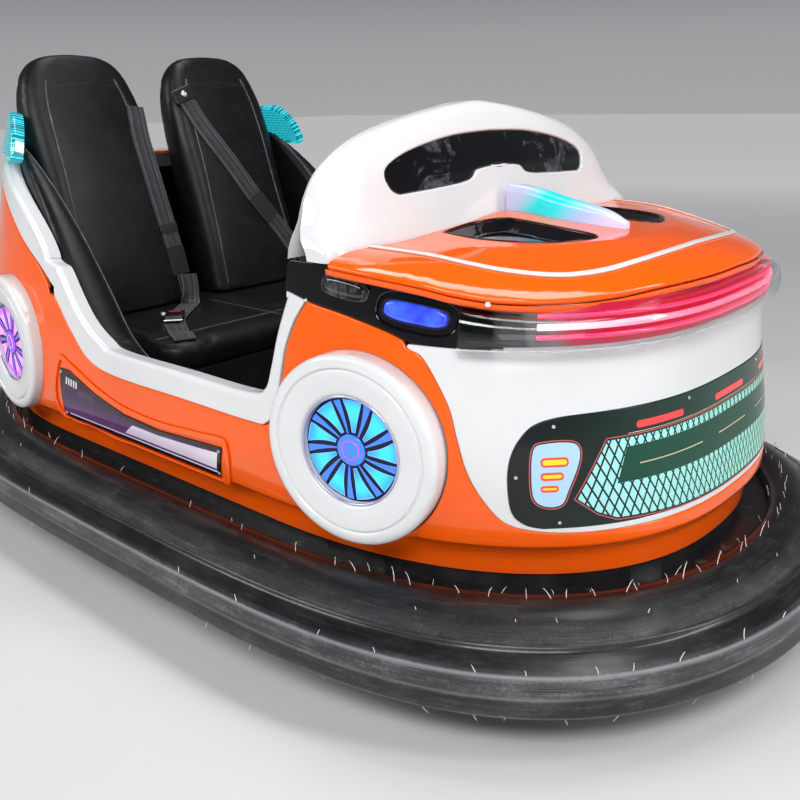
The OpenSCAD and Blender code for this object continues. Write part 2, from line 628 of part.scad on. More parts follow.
// Steering wheel: its middle, and the column under it
wheel_x = nose_x - 621;
wheel_z = hood_mid + 35;
column_r = 18;
column_l = 190;
hub_pin_r = 8;
hub_low = 20;
hub_pin_l = 27;
hub_r = 30;
hub_h = 32;
spoke_w = 22;
spoke_t = 8;
module at_wheel() translate([wheel_x, 0, wheel_z]) rotate([0, column_a - 90, 0]) children();
module steering_column() color([0.2, 0.2, 0.21]) at_wheel() {
    translate([0, 0, -column_l]) cylinder(h = column_l - hub_low - play, r = column_r);
    translate([0, 0, -hub_low - play - 1]) cylinder(h = hub_pin_l, r = hub_pin_r);
}

module steering_wheel() color([0.08, 0.08, 0.08]) at_wheel() {
    rotate_extrude($fn = 64) translate([wheel_r, 0]) circle(r = rim_r, $fn = 20);
    difference() {
        union() {
            translate([0, 0, -hub_low]) cylinder(h = hub_h, r = hub_r);
            for (a = [60, 180, 300]) rotate([0, 0, a]) translate([hub_r / 2, -spoke_w / 2, -spoke_t / 2])
                cube([wheel_r - hub_r / 2, spoke_w, spoke_t]);
        }
        translate([0, 0, -hub_low - 1]) cylinder(h = hub_pin_l, r = hub_pin_r + run);
    }
}

fork_top = 2 * drive_r + 14;
fork_in = drive_w / 2 + 7;
fork_t = 8;
axle_r = 10;
motor_r = 38;
motor_l = 86;
module drive_fork() color([0.25, 0.25, 0.27]) translate([drive_x, 0, 0]) {
    translate([0, 0, fork_top]) cylinder(h = 10, r = 64);
    translate([0, 0, fork_top + 10]) cylinder(h = bridge_z - play - fork_top - 10, r = 32);
    translate([0, 0, fork_top + 9]) cylinder(h = bridge_z + bridge_t + 10 - fork_top - 9, r = pin_r);
    translate([0, 0, bridge_z + bridge_t + play]) cylinder(h = 10, r = 30);
    for (s = [-1, 1]) translate([-28, s * (fork_in + fork_t / 2) - fork_t / 2, drive_r - 28])
        cube([56, fork_t, fork_top - drive_r + 29]);
    translate([0, 0, drive_r]) rotate([90, 0, 0]) cylinder(h = 2 * fork_in + 2, r = axle_r, center = true);
    translate([0, fork_in + fork_t - 1, drive_r]) rotate([-90, 0, 0]) cylinder(h = motor_l, r = motor_r);
}

module tyre_wheel(r, w, bore) rotate([90, 0, 0]) rotate_extrude($fn = 64) polygon([[bore, -w / 2],
    [r * 0.35, -w / 2], [r * 0.38, -w / 2 + 4], [r * 0.7, -w / 2 + 4], [r * 0.74, -w / 2], [r - 5, -w / 2],
    [r - 1, -w / 2 + 5], [r, -w / 2 + 10], [r, w / 2 - 10], [r - 1, w / 2 - 5], [r - 5, w / 2],
    [r * 0.74, w / 2], [r * 0.7, w / 2 - 4], [r * 0.38, w / 2 - 4], [r * 0.35, w / 2], [bore, w / 2]]);
module drive_wheel() color([0.1, 0.1, 0.1]) translate([drive_x, 0, drive_r])
    tyre_wheel(drive_r, drive_w, axle_r + run);
module rear_wheel(s) color([0.1, 0.1, 0.1]) translate([-rear_x, s * rear_track / 2, rear_r])
    tyre_wheel(rear_r, rear_w, rear_pin_r + run);

battery_size = [350, 260, 140];
module battery() color([0.15, 0.2, 0.25]) translate([290 - tail_x, -battery_size[1] / 2, deck_z])
    cube(battery_size);

pedal_w = 70;
module pedal() color([0.3, 0.3, 0.32]) translate([wheel_x, -150, deck_z]) rotate([90, 0, 0])
    linear_extrude(pedal_w) polygon([[0, 0], [80, 0], [92, 45], [86, 47], [70, 10], [0, 6]]);

bumper_ring();
chassis_frame();
floor_pan();
body_skirt();
body_shell();
nose_panel();
grille_panel();
hood_cap();
windshield_arch();
windscreen();
light_blade();
light_bar();
light_bar_leds();
side_strip(-1);  // side_strip_right
side_strip(1);  // side_strip_left
side_lamp(-1);  // side_lamp_right
side_lamp(1);  // side_lamp_left
hood_vent(-1);  // hood_vent_right
hood_vent(1);  // hood_vent_left
cockpit_rim(-1);  // cockpit_rim_right
cockpit_rim(1);  // cockpit_rim_left
side_plate(-1);  // side_plate_right
side_plate(1);  // side_plate_left
wheel_ring(-1, front_x);  // wheel_ring_front_right
wheel_ring(1, front_x);  // wheel_ring_front_left
wheel_ring(-1, back_x);  // wheel_ring_rear_right
wheel_ring(1, back_x);  // wheel_ring_rear_left
wheel_lamp(-1, front_x);  // wheel_lamp_front_right
wheel_lamp(1, front_x);  // wheel_lamp_front_left
wheel_lamp(-1, back_x);  // wheel_lamp_rear_right
wheel_lamp(1, back_x);  // wheel_lamp_rear_left
tail_lamp(-1);  // tail_lamp_right
tail_lamp(1);  // tail_lamp_left
rear_deck();
seat_box();
seat_cushion();
seat_back(-1);  // seat_back_right
seat_back(1);  // seat_back_left
side_bolster(-1);  // side_bolster_right
side_bolster(1);  // side_bolster_left
seat_belt(0);  // seat_belt_right
seat_belt(1);  // seat_belt_left
dash_panel();
steering_column();
steering_wheel();
drive_fork();
drive_wheel();
rear_wheel(-1);  // rear_wheel_right
rear_wheel(1);  // rear_wheel_left
battery();
pedal();
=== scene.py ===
"""Looks of a two-seat bumper car, built as an add-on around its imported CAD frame."""

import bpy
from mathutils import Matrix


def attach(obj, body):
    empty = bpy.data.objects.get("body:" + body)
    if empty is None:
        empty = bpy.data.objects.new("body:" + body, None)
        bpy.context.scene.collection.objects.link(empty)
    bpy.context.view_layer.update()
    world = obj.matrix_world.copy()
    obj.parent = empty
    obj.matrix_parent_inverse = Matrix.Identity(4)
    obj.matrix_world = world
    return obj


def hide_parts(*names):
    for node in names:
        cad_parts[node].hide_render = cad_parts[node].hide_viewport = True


bl_info = {"name": "Bumper car looks", "version": (1, 0, 0), "blender": (4, 5, 0),
    "location": "3D View > Sidebar > Bumper Car",
    "description": "Panels, lights, seats, rubber and finishes of a two-seat bumper car",
    "category": "Object",}

import math
import random

import bpy
import numpy as np
from bpy.props import FloatProperty, FloatVectorProperty, IntProperty, PointerProperty
from mathutils import Matrix, Vector
from mathutils.bvhtree import BVHTree
from mathutils.geometry import delaunay_2d_cdt

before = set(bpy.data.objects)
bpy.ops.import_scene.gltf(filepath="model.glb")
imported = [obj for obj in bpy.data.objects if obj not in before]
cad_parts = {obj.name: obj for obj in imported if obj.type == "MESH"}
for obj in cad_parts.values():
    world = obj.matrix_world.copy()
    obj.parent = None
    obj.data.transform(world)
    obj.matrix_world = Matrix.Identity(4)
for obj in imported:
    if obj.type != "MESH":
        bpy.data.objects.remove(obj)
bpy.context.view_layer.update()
CAR = "car"
MM = 0.001


# ---------------------------------------------------------------- settings

class BumperCarSettings(bpy.types.PropertyGroup):
    """Colours and sizes that a user may change before the pieces are made"""
    orange: FloatVectorProperty(name="Orange", description="Colour of the orange gelcoat", subtype="COLOR",
        default=(0.96, 0.115, 0.002), min=0, max=1)
    white: FloatVectorProperty(name="White", description="Colour of the white gelcoat", subtype="COLOR",
        default=(0.73, 0.74, 0.75), min=0, max=1)
    rubber: FloatVectorProperty(name="Rubber", description="Colour of clean bumper rubber", subtype="COLOR",
        default=(0.009, 0.009, 0.010), min=0, max=1)
    leather: FloatVectorProperty(name="Leatherette", description="Colour of the seats", subtype="COLOR",
        default=(0.005, 0.005, 0.006), min=0, max=1)
    front_light: FloatVectorProperty(name="Front wheel light", description="Colour of the front discs",
        subtype="COLOR", default=(0.02, 0.30, 1.0), min=0, max=1)
    rear_light: FloatVectorProperty(name="Rear wheel light", description="Colour of the rear discs",
        subtype="COLOR", default=(0.85, 0.05, 0.85), min=0, max=1)
    bar_light: FloatVectorProperty(name="Bar light", description="Colour of the lit strips in the nose",
        subtype="COLOR", default=(1.0, 0.03, 0.12), min=0, max=1)
    glow: FloatProperty(name="Glow", description="Strength of all lights on the car", default=1.0, min=0,
        max=5)
    edge: FloatProperty(name="Panel edge", description="Radius of a moulded panel's edges", default=0.0025,
        min=0.0005, max=0.005, unit="LENGTH")
    whiskers: IntProperty(name="Whiskers", description="Moulding whiskers on the rubber ring", default=330,
        min=0, max=1000)


def settings():
    return bpy.context.scene.bumper_car


# ---------------------------------------------------------------- numbers and curves

def spow(v, e):
    return np.sign(v) * np.abs(v) ** e


def unit(v):
    v = np.asarray(v, float)
    return v / np.maximum(np.linalg.norm(v, axis=-1, keepdims=True), 1e-12)


def turns(n):
    """Angles of n points evenly round a circle"""
    return np.arange(n) * 2 * math.pi / n


def run_along(p):
    """Length from the start of a path to each of its points"""
    return np.concatenate([[0], np.cumsum(np.linalg.norm(np.diff(p, axis=0), axis=1))])


def both_halves(p):
    """Loop made of a half outline and its mirror image"""
    return np.vstack([p, (p * [-1, 1])[::-1]])


def closed_path(p):
    return np.vstack([p, p[:1]])


def smooth_table(xs, ys, x):
    """Monotone cubic through a table, held at its ends"""
    xs, ys = np.asarray(xs, float), np.asarray(ys, float)
    x = np.clip(np.asarray(x, float), xs[0], xs[-1])
    h = np.diff(xs)
    d = np.diff(ys) / h
    m = np.zeros(len(xs))
    m[0], m[-1] = d[0], d[-1]
    for i in range(1, len(xs) - 1):
        if d[i - 1] * d[i] > 0:
            w1, w2 = 2 * h[i] + h[i - 1], h[i] + 2 * h[i - 1]
            m[i] = (w1 + w2) / (w1 / d[i - 1] + w2 / d[i])
    k = np.clip(np.searchsorted(xs, x, side="right") - 1, 0, len(h) - 1)
    t = (x - xs[k]) / h[k]
    return ((1 + 2 * t) * (1 - t) ** 2 * ys[k] + t * (1 - t) ** 2 * h[k] * m[k] + t * t * (3 - 2 * t)
        * ys[k + 1] + t * t * (t - 1) * h[k] * m[k + 1])


def spline(points, steps=10, closed=False):
    """Smooth curve through the points"""
    p = np.asarray(points, float)
    n = len(p)
    out = []
    for i in range(n if closed else n - 1):
        a, b, c, d = (p[(i + k) % n] if closed else p[min(max(i + k, 0), n - 1)] for k in (-1, 0, 1, 2))
        for j in range(steps):
            t = j / steps
            out.append(0.5 * (2 * b + (c - a) * t + (2 * a - 5 * b + 4 * c - d) * t * t
                + (3 * b - a - 3 * c + d) * t ** 3))
    if not closed:
        out.append(p[-1])
    return np.array(out)


def densify(p, step, closed=True):
    """Points at most a step apart along a polygon, its corners kept"""
    p = np.asarray(p, float)
    ends = np.roll(p, -1, axis=0) if closed else p[1:]
    out = []
    for a, b in zip(p, ends):
        n = max(1, int(math.ceil(np.linalg.norm(b - a) / step)))
        out += [a + (b - a) * i / n for i in range(n)]
    if not closed:
        out.append(p[-1])
    return np.array(out)


def area_2d(p):
    q = np.roll(p, -1, axis=0)
    return 0.5 * float(np.sum(p[:, 0] * q[:, 1] - q[:, 0] * p[:, 1]))


def ccw(p):
    return p if area_2d(p) > 0 else p[::-1].copy()


def inside(points, poly):
    """Which points lie inside a polygon"""
    x, y = points[:, 0], points[:, 1]
    hit = np.zeros(len(points), bool)
    for (x0, y0), (x1, y1) in zip(poly, np.roll(poly, -1, axis=0)):
        if y0 == y1:
            continue
        cross = ((y0 > y) != (y1 > y)) & (x < (x1 - x0) * (y - y0) / (y1 - y0) + x0)
        hit ^= cross
    return hit


def shrink(p, r):
    """Loop moved inwards by r, one value for all or for each point; it runs counterclockwise"""
    a, b = unit(p - np.roll(p, 1, axis=0)), unit(np.roll(p, -1, axis=0) - p)
    na, nb = np.stack([-a[:, 1], a[:, 0]], 1), np.stack([-b[:, 1], b[:, 0]], 1)
    n = unit(na + nb)
    k = np.asarray(r, float) / np.maximum(np.sum(n * na, axis=1), 0.6)
    return p + n * k[:, None]


def oval(cx, cy, rx, ry, n=64, e=2.0, turn=0.0):
    a = turns(n)
    x, y = rx * spow(np.cos(a), 2 / e), ry * spow(np.sin(a), 2 / e)
    c, s = math.cos(turn), math.sin(turn)
    return np.stack([cx + x * c - y * s, cy + x * s + y * c], 1)


# ---------------------------------------------------------------- meshes

def mesh_object(name, verts, faces, normals=None, uv=None):
    """Object from points in millimetres, with one normal and one place on the surface per corner"""
    verts = np.asarray(verts, float)
    _, first, index = np.unique(np.round(verts, 3), axis=0, return_index=True, return_inverse=True)
    index = index.reshape(-1)
    kept_faces, kept_normals, kept_uv = [], [], []
    for i, f in enumerate(faces):
        g = [int(index[v]) for v in f]
        keep = [j for j in range(len(g)) if g[j] != g[j - 1]]
        if len(keep) < 3 or len(set(g[j] for j in keep)) < len(keep):
            continue
        kept_faces.append([g[j] for j in keep])
        if normals is not None:
            kept_normals += [normals[i][j] for j in keep]
        if uv is not None:
            kept_uv += [uv[i][j] for j in keep]
    me = bpy.data.meshes.new(name)
    me.from_pydata((verts[first] * MM).tolist(), [], kept_faces)
    me.polygons.foreach_set("use_smooth", [True] * len(me.polygons))
    if uv is not None:
        layer = me.uv_layers.new(name="Surface")
        layer.data.foreach_set("uv", np.asarray(kept_uv, np.float32).reshape(-1))
    if normals is not None:
        me.normals_split_custom_set(np.asarray(kept_normals, np.float32).tolist())
    me.update()
    obj = bpy.data.objects.new(name, me)
    bpy.context.scene.collection.objects.link(obj)
    return obj


def place(obj, material, slot, node=None, body=CAR):
    """Gives a piece its finish and the body that it rides on, and hides the frame's node that it stands for;
    the slot is not used
    """
    obj.data.materials.clear()
    obj.data.materials.append(material)
    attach(obj, body)
    if node:
        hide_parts(node)


def add_piece(name, data, material, slot, node=None, body=CAR):
    """Makes a piece from its mesh data and places it"""
    place(mesh_object(name, *data), material, slot, node, body)


def surface_normals(surface, u, v, h=0.8):
    du = surface(u + h, v) - surface(u - h, v)
    dv = surface(u, v + h) - surface(u, v - h)
    return unit(np.cross(du, dv))


ROUND = np.radians([0, 22.5, 45, 67.5, 90])


def panel_data(surface, outline, holes=(), depth=6.0, step=12.0, fine=5.0, seam=None, out=0.0, steps=ROUND):
    """Moulded panel on a surface: smooth front, rounded edges, side walls and a back.
    The outline is a list of (points, edge radius) pieces that run counterclockwise, and so is each hole."""
    loops, radii = [], []
    for pieces in [outline] + list(holes):
        pts, rad = [], []
        for p, r in pieces:
            q = densify(p, fine, closed=False)[:-1] if len(pieces) > 1 else densify(p, fine)
            pts.append(q)
            rad.append(np.full(len(q), float(r)))
        pts, rad = np.vstack(pts), np.concatenate(rad)
        if len(pieces) > 1:
            rad = np.minimum(rad, 0.5 * (np.roll(rad, 1) + np.roll(rad, -1)))
        if area_2d(pts) < 0:
            pts, rad = pts[::-1].copy(), rad[::-1].copy()
        loops.append(pts)
        radii.append(rad)
    on_seam = [np.zeros(len(p), bool) if seam is None else np.abs(p[:, 0]) > seam - 0.01 for p in loops]
    inner = []
    for i, (p, r) in enumerate(zip(loops, radii)):
        q = shrink(p, r if i == 0 else -r)
        q[on_seam[i], 0] = p[on_seam[i], 0]
        inner.append(q)
    lo, hi = inner[0].min(0), inner[0].max(0)
    gu, gv = np.meshgrid(np.arange(lo[0] + step / 2, hi[0], step), np.arange(lo[1] + step / 2, hi[1], step))
    gu = gu + (np.arange(gu.shape[0]) % 2)[:, None] * step / 2
    grid = np.stack([gu.ravel(), gv.ravel()], 1)
    keep = inside(grid, inner[0])
    for q in inner[1:]:
        keep &= ~inside(grid, q)
    grid = grid[keep]
    for q in inner:
        for chunk in np.array_split(q, max(1, len(q) // 40)):
            if len(grid):
                near = np.min(np.linalg.norm(grid[:, None] - chunk[None], axis=2), axis=1) < step * 0.45
                grid = grid[~near]
    points = np.vstack(inner + [grid])
    edges, base = [], 0
    for q in inner:
        edges += [(base + i, base + (i + 1) % len(q)) for i in range(len(q))]
        base += len(q)
    cv, _, cf, _, _, _ = delaunay_2d_cdt([Vector(p) for p in points], edges, [], 0, 1e-4)
    cv = np.array([tuple(v) for v in cv])
    cf = np.array([f for f in cf if len(f) == 3])
    centre = cv[cf].mean(1)
    keep = inside(centre, inner[0])
    for q in inner[1:]:
        keep &= ~inside(centre, q)
    cf = cf[keep]
    tri = cv[cf]
    turn = np.cross(tri[:, 1] - tri[:, 0], tri[:, 2] - tri[:, 0])
    cf = cf[np.abs(turn) > 1e-6]
    turn = turn[np.abs(turn) > 1e-6]
    cf[turn < 0] = cf[turn < 0][:, ::-1]
    base_pts = surface(cv[:, 0], cv[:, 1])
    n = surface_normals(surface, cv[:, 0], cv[:, 1])
    top = base_pts + n * out
    verts = [top, top - n * depth]
    count = len(cv)
    faces = cf.tolist() + (cf[:, ::-1] + count).tolist()
    norms = n[cf].tolist() + (-n[cf[:, ::-1]]).tolist()
    uv = (cv[cf] * MM).tolist() + (cv[cf[:, ::-1]] * MM).tolist()
    total = 2 * count
    for i, (q, r) in enumerate(zip(inner, radii)):
        order = q if i == 0 else q[::-1]
        rr = r if i == 0 else r[::-1]
        skip = on_seam[i] if i == 0 else on_seam[i][::-1]
        p3 = surface(order[:, 0], order[:, 1])
        n3 = surface_normals(surface, order[:, 0], order[:, 1])
        p3 = p3 + n3 * out
        t3 = unit(np.roll(p3, -1, axis=0) - np.roll(p3, 1, axis=0))
        m3 = unit(np.cross(t3, n3))
        m3[skip] = 0
        rows, row_n = [], []
        for a in steps:
            rows.append(p3 + m3 * (rr * math.sin(a))[:, None] - n3 * (rr * (1 - math.cos(a)))[:, None])
            row_n.append(unit(n3 * math.cos(a) + m3 * math.sin(a)))
        rows.append(p3 + m3 * rr[:, None] - n3 * depth)
        row_n.append(m3)
        rows.append(p3 - n3 * depth)
        row_n.append(-n3)
        k = len(order)
        for j in range(len(rows) - 1):
            lower = j >= len(rows) - 2
            for a in range(k):
                b = (a + 1) % k
                if skip[a] and skip[b]:
                    continue
                faces.append([total + j * k + a, total + (j + 1) * k + a, total + (j + 1) * k + b,
                    total + j * k + b])
                na, nb = (row_n[j + 1][a], row_n[j + 1][b]) if lower else (row_n[j][a], row_n[j][b])
                norms.append([na, row_n[j + 1][a], row_n[j + 1][b], nb])
                uv.append([order[a] * MM, order[a] * MM, order[b] * MM, order[b] * MM])
        verts += rows
        total += len(rows) * k
    return np.vstack(verts), faces, norms, uv


def flipped(data):
    """The same faces, looking the other way"""
    verts, faces, norms, uv = data
    return (verts, [f[::-1] for f in faces], [[-np.asarray(a) for a in g[::-1]] for g in norms],
        [g[::-1] for g in uv])


def mirrored(data):
    """The same panel on the car's other side"""
    verts, faces, norms, uv = data
    flip = np.array([1, -1, 1])
    return (verts * flip, [f[::-1] for f in faces], [[np.asarray(n) * flip for n in f[::-1]] for f in norms],
        [f[::-1] for f in uv])


def facing(data, direction):
    """Data whose middle face looks along a direction"""
    norms = data[2]
    return flipped(data) if np.dot(np.asarray(norms[len(norms) // 2][0]), direction) < 0 else data


def facing_out(data):
    """Closed skin whose faces look outwards"""
    verts, faces = data[:2]
    volume, middle = 0.0, verts.mean(0)
    for f in faces:
        q = verts[f] - middle
        for i in range(1, len(f) - 1):
            volume += float(np.dot(q[0], np.cross(q[i], q[i + 1])))
    return flipped(data) if volume < 0 else data


def solid_data(rows):
    """Closed skin over rings of points, with both ends capped"""
    return facing_out(grid_data(np.array(rows), wrap_u=True, cap=True))


def circle(place_point, radius, height, n):
    """Points round a circle, set into place by a function"""
    return np.array([place_point(radius * math.cos(a), radius * math.sin(a), height) for a in turns(n)])


def merged(parts):
    verts, faces, norms, uv, base = [], [], [], [], 0
    for v, f, n, t in parts:
        verts.append(v)
        faces += [[i + base for i in g] for g in f]
        norms += list(n)
        uv += list(t)
        base += len(v)
    return np.vstack(verts), faces, norms, uv


def grid_data(points, wrap_u=False, wrap_v=False, cap=False):
    """Smooth skin over a grid of points [row][column]"""
    p = np.asarray(points, float)
    r, c = p.shape[:2]
    du = np.roll(p, -1, 1) - np.roll(p, 1, 1)
    dv = np.roll(p, -1, 0) - np.roll(p, 1, 0)
    if not wrap_u:
        du[:, 0], du[:, -1] = p[:, 1] - p[:, 0], p[:, -1] - p[:, -2]
    if not wrap_v:
        dv[0], dv[-1] = p[1] - p[0], p[-1] - p[-2]
    n = unit(np.cross(du, dv))
    weak = np.linalg.norm(np.cross(du, dv), axis=2) < 1e-9
    for i, j in zip(*np.where(weak)):
        n[i, j] = n[min(max(i, 1), r - 2), j]
    su = np.cumsum(np.concatenate([[0], np.linalg.norm(np.diff(p.mean(0), axis=0), axis=1)])) * MM
    sv = np.cumsum(np.concatenate([[0], np.linalg.norm(np.diff(p[:, 0], axis=0), axis=1)])) * MM
    faces, norms, uv = [], [], []
    for i in range(r if wrap_v else r - 1):
        k = (i + 1) % r
        for j in range(c if wrap_u else c - 1):
            m = (j + 1) % c
            faces.append([i * c + j, i * c + m, k * c + m, k * c + j])
            norms.append([n[i, j], n[i, m], n[k, m], n[k, j]])
            um, vk = (su[j] + 0.01 if m == 0 else su[m]), (sv[i] + 0.01 if k == 0 else sv[k])
            uv.append([(su[j], sv[i]), (um, sv[i]), (um, vk), (su[j], vk)])
    verts = p.reshape(-1, 3)
    if cap:
        for i, rev in ((0, True), (r - 1, False)):
            ring = [i * c + j for j in range(c)]
            ring = ring[::-1] if rev else ring
            q = verts[ring]
            nn = unit(np.cross(q[c // 3] - q[0], q[2 * c // 3] - q[0]))
            faces.append(ring)
            norms.append([nn] * c)
            uv.append([(0, 0)] * c)
    return verts, faces, norms, uv


def lathe_data(profile, place_point, n=96):
    """Surface of revolution from (radius, height) points; place_point maps local points into the car"""
    pts = np.array([[place_point(r * math.cos(t), r * math.sin(t), h) for t in turns(n)] for r, h in profile])
    return grid_data(pts, wrap_u=True)


def lathe_out(profile, place_point, n=96):
    """Surface of revolution whose faces look away from its axis"""
    data = lathe_data(profile, place_point, n)
    verts, faces, norms, _ = data
    away = verts[faces[0][0]] - place_point(0, 0, profile[0][1])
    return flipped(data) if np.dot(norms[0][0], away) < 0 else data


def rounded_profile(points, radius=1.0, steps=3):
    """Profile of (radius, height) points with its inner corners rounded"""
    p = [np.asarray(q, float) for q in points]
    out = [p[0]]
    for a, b, c in zip(p, p[1:], p[2:]):
        la, lc = np.linalg.norm(a - b), np.linalg.norm(c - b)
        r = min(radius, la * 0.45, lc * 0.45)
        s, e = b + (a - b) / max(la, 1e-9) * r, b + (c - b) / max(lc, 1e-9) * r
        out += [(1 - t) ** 2 * s + 2 * t * (1 - t) * b + t * t * e for t in np.linspace(0, 1, steps + 1)]
    out.append(p[-1])
    return np.array(out)


def tube_data(path, radius, sides=8, taper=None, closed=False):
    """Round tube along a path, in millimetres"""
    p = np.asarray(path, float)
    n = len(p)
    if closed:
        t = unit(np.roll(p, -1, axis=0) - np.roll(p, 1, axis=0))
    else:
        t = unit(np.gradient(p, axis=0))
    ref = np.array([0, 0, 1.0]) if abs(t[0][2]) < 0.9 else np.array([1.0, 0, 0])
    side = unit(np.cross(t[0], ref))
    rows = []
    for i in range(n):
        side = unit(side - t[i] * np.dot(side, t[i]))
        up = np.cross(side, t[i])
        r = radius * (1 if taper is None else taper[i])
        a = np.arange(sides) * 2 * math.pi / sides
        rows.append(p[i] + r * (np.cos(a)[:, None] * up + np.sin(a)[:, None] * side))
    return grid_data(np.array(rows), wrap_u=True, wrap_v=closed, cap=not closed)


def ribbon_data(path, normals, width, thick):
    """Flat strip along a path that lies on a surface with these normals"""
    p, n = np.asarray(path, float), unit(normals)
    t = unit(np.gradient(p, axis=0))
    s = unit(np.cross(t, n))
    w = np.broadcast_to(np.asarray(width, float) / 2, (len(p),))[:, None]
    b = min(thick * 0.45, 0.6)
    rows = np.stack([p - s * w, p - s * w + n * (thick - b), p - s * (w - b) + n * thick,
        p + n * (thick + 0.12), p + s * (w - b) + n * thick, p + s * w + n * (thick - b), p + s * w], 1)
    return grid_data(rows, wrap_u=True, cap=True)


# ---------------------------------------------------------------- shader groups

def new_group(name, **inputs):
    """Shader group with a colour, a roughness and a height to put out. The inputs' default values
    say which kind each is"""
    g = bpy.data.node_groups.new(name, "ShaderNodeTree")
    for label, value in inputs.items():
        colour = isinstance(value, tuple)
        kind = "NodeSocketColor" if colour else "NodeSocketFloat"
        s = g.interface.new_socket(label.replace("_", " "), in_out="INPUT", socket_type=kind)
        s.default_value = rgba(value) if colour else value
    for label, kind in (("Color", "NodeSocketColor"), ("Roughness", "NodeSocketFloat"),
            ("Height", "NodeSocketFloat")):
        g.interface.new_socket(label, in_out="OUTPUT", socket_type=kind)
    return Net(g), g.nodes.new("NodeGroupInput").outputs, g.nodes.new("NodeGroupOutput")


class Net:
    """Short words for placing and linking shader nodes; a colour is three numbers"""

    def __init__(self, tree):
        self.tree = tree

    def link(self, value, owner, socket):
        self.tree.links.new(value, owner.inputs[socket])

    def node(self, kind, values=None, **settings):
        n = self.tree.nodes.new(kind)
        for k, v in settings.items():
            setattr(n, k, v)
        for key, v in (values or {}).items():
            if isinstance(v, bpy.types.NodeSocket):
                self.link(v, n, key)
            else:
                socket = n.inputs[key]
                socket.default_value = rgba(v) if socket.type == "RGBA" else v
        return n

    def coords(self):
        return self.node("ShaderNodeTexCoord").outputs["Object"]

    def surface(self):
        return self.node("ShaderNodeUVMap", uv_map="Surface").outputs[0]

    def noise(self, vector, scale, detail=2.0, rough=0.5, distort=0.0):
        return self.node("ShaderNodeTexNoise", {"Vector": vector, "Scale": scale, "Detail": detail,
            "Roughness": rough, "Distortion": distort}).outputs["Fac"]

    def stretch(self, vector, scale):
        return self.node("ShaderNodeMapping", {"Vector": vector, "Scale": scale}).outputs[0]

    def scale(self, colour, by):
        return self.node("ShaderNodeVectorMath", {0: colour, 3: by}, operation="SCALE").outputs[0]

    def remap(self, value, a, b, c=0.0, d=1.0):
        return self.node("ShaderNodeMapRange", {"Value": value, "From Min": a, "From Max": b, "To Min": c,
            "To Max": d}).outputs[0]

    def math(self, op, a, b=0.0):
        return self.node("ShaderNodeMath", {0: a, 1: b}, operation=op).outputs[0]

    def add(self, a, b):
        return self.math("ADD", a, b)

    def mul(self, a, b):
        return self.math("MULTIPLY", a, b)

    def wave(self, value, length):
        """Sine of a length in metres, from -1 to 1"""
        return self.math("SINE", self.mul(value, 2 * math.pi / length))

    def mix(self, fac, a, b):
        return self.node("ShaderNodeMix", {0: fac, 6: a, 7: b}, data_type="RGBA").outputs[2]

    def ramp(self, value, stops):
        n = self.node("ShaderNodeValToRGB", {0: value})
        e = n.color_ramp.elements
        while len(e) < len(stops):
            e.new(0.5)
        for item, (at, colour) in zip(e, stops):
            item.position = at
            item.color = rgba(colour)
        return n.outputs[0]

    def split(self, vector):
        return self.node("ShaderNodeSeparateXYZ", {0: vector}).outputs

    def bump(self, shader, height, strength, distance):
        b = self.node("ShaderNodeBump", {"Strength": strength, "Distance": distance, "Height": height})
        self.link(b.outputs[0], shader, "Normal")

    def glow(self, shader, colour, strength):
        """Light that the car gives off"""
        self.link(colour, shader, "Emission Color")
        shader.inputs["Emission Strength"].default_value = strength * settings().glow


def rgba(c, k=1.0):
    return (c[0] * k, c[1] * k, c[2] * k, 1.0)


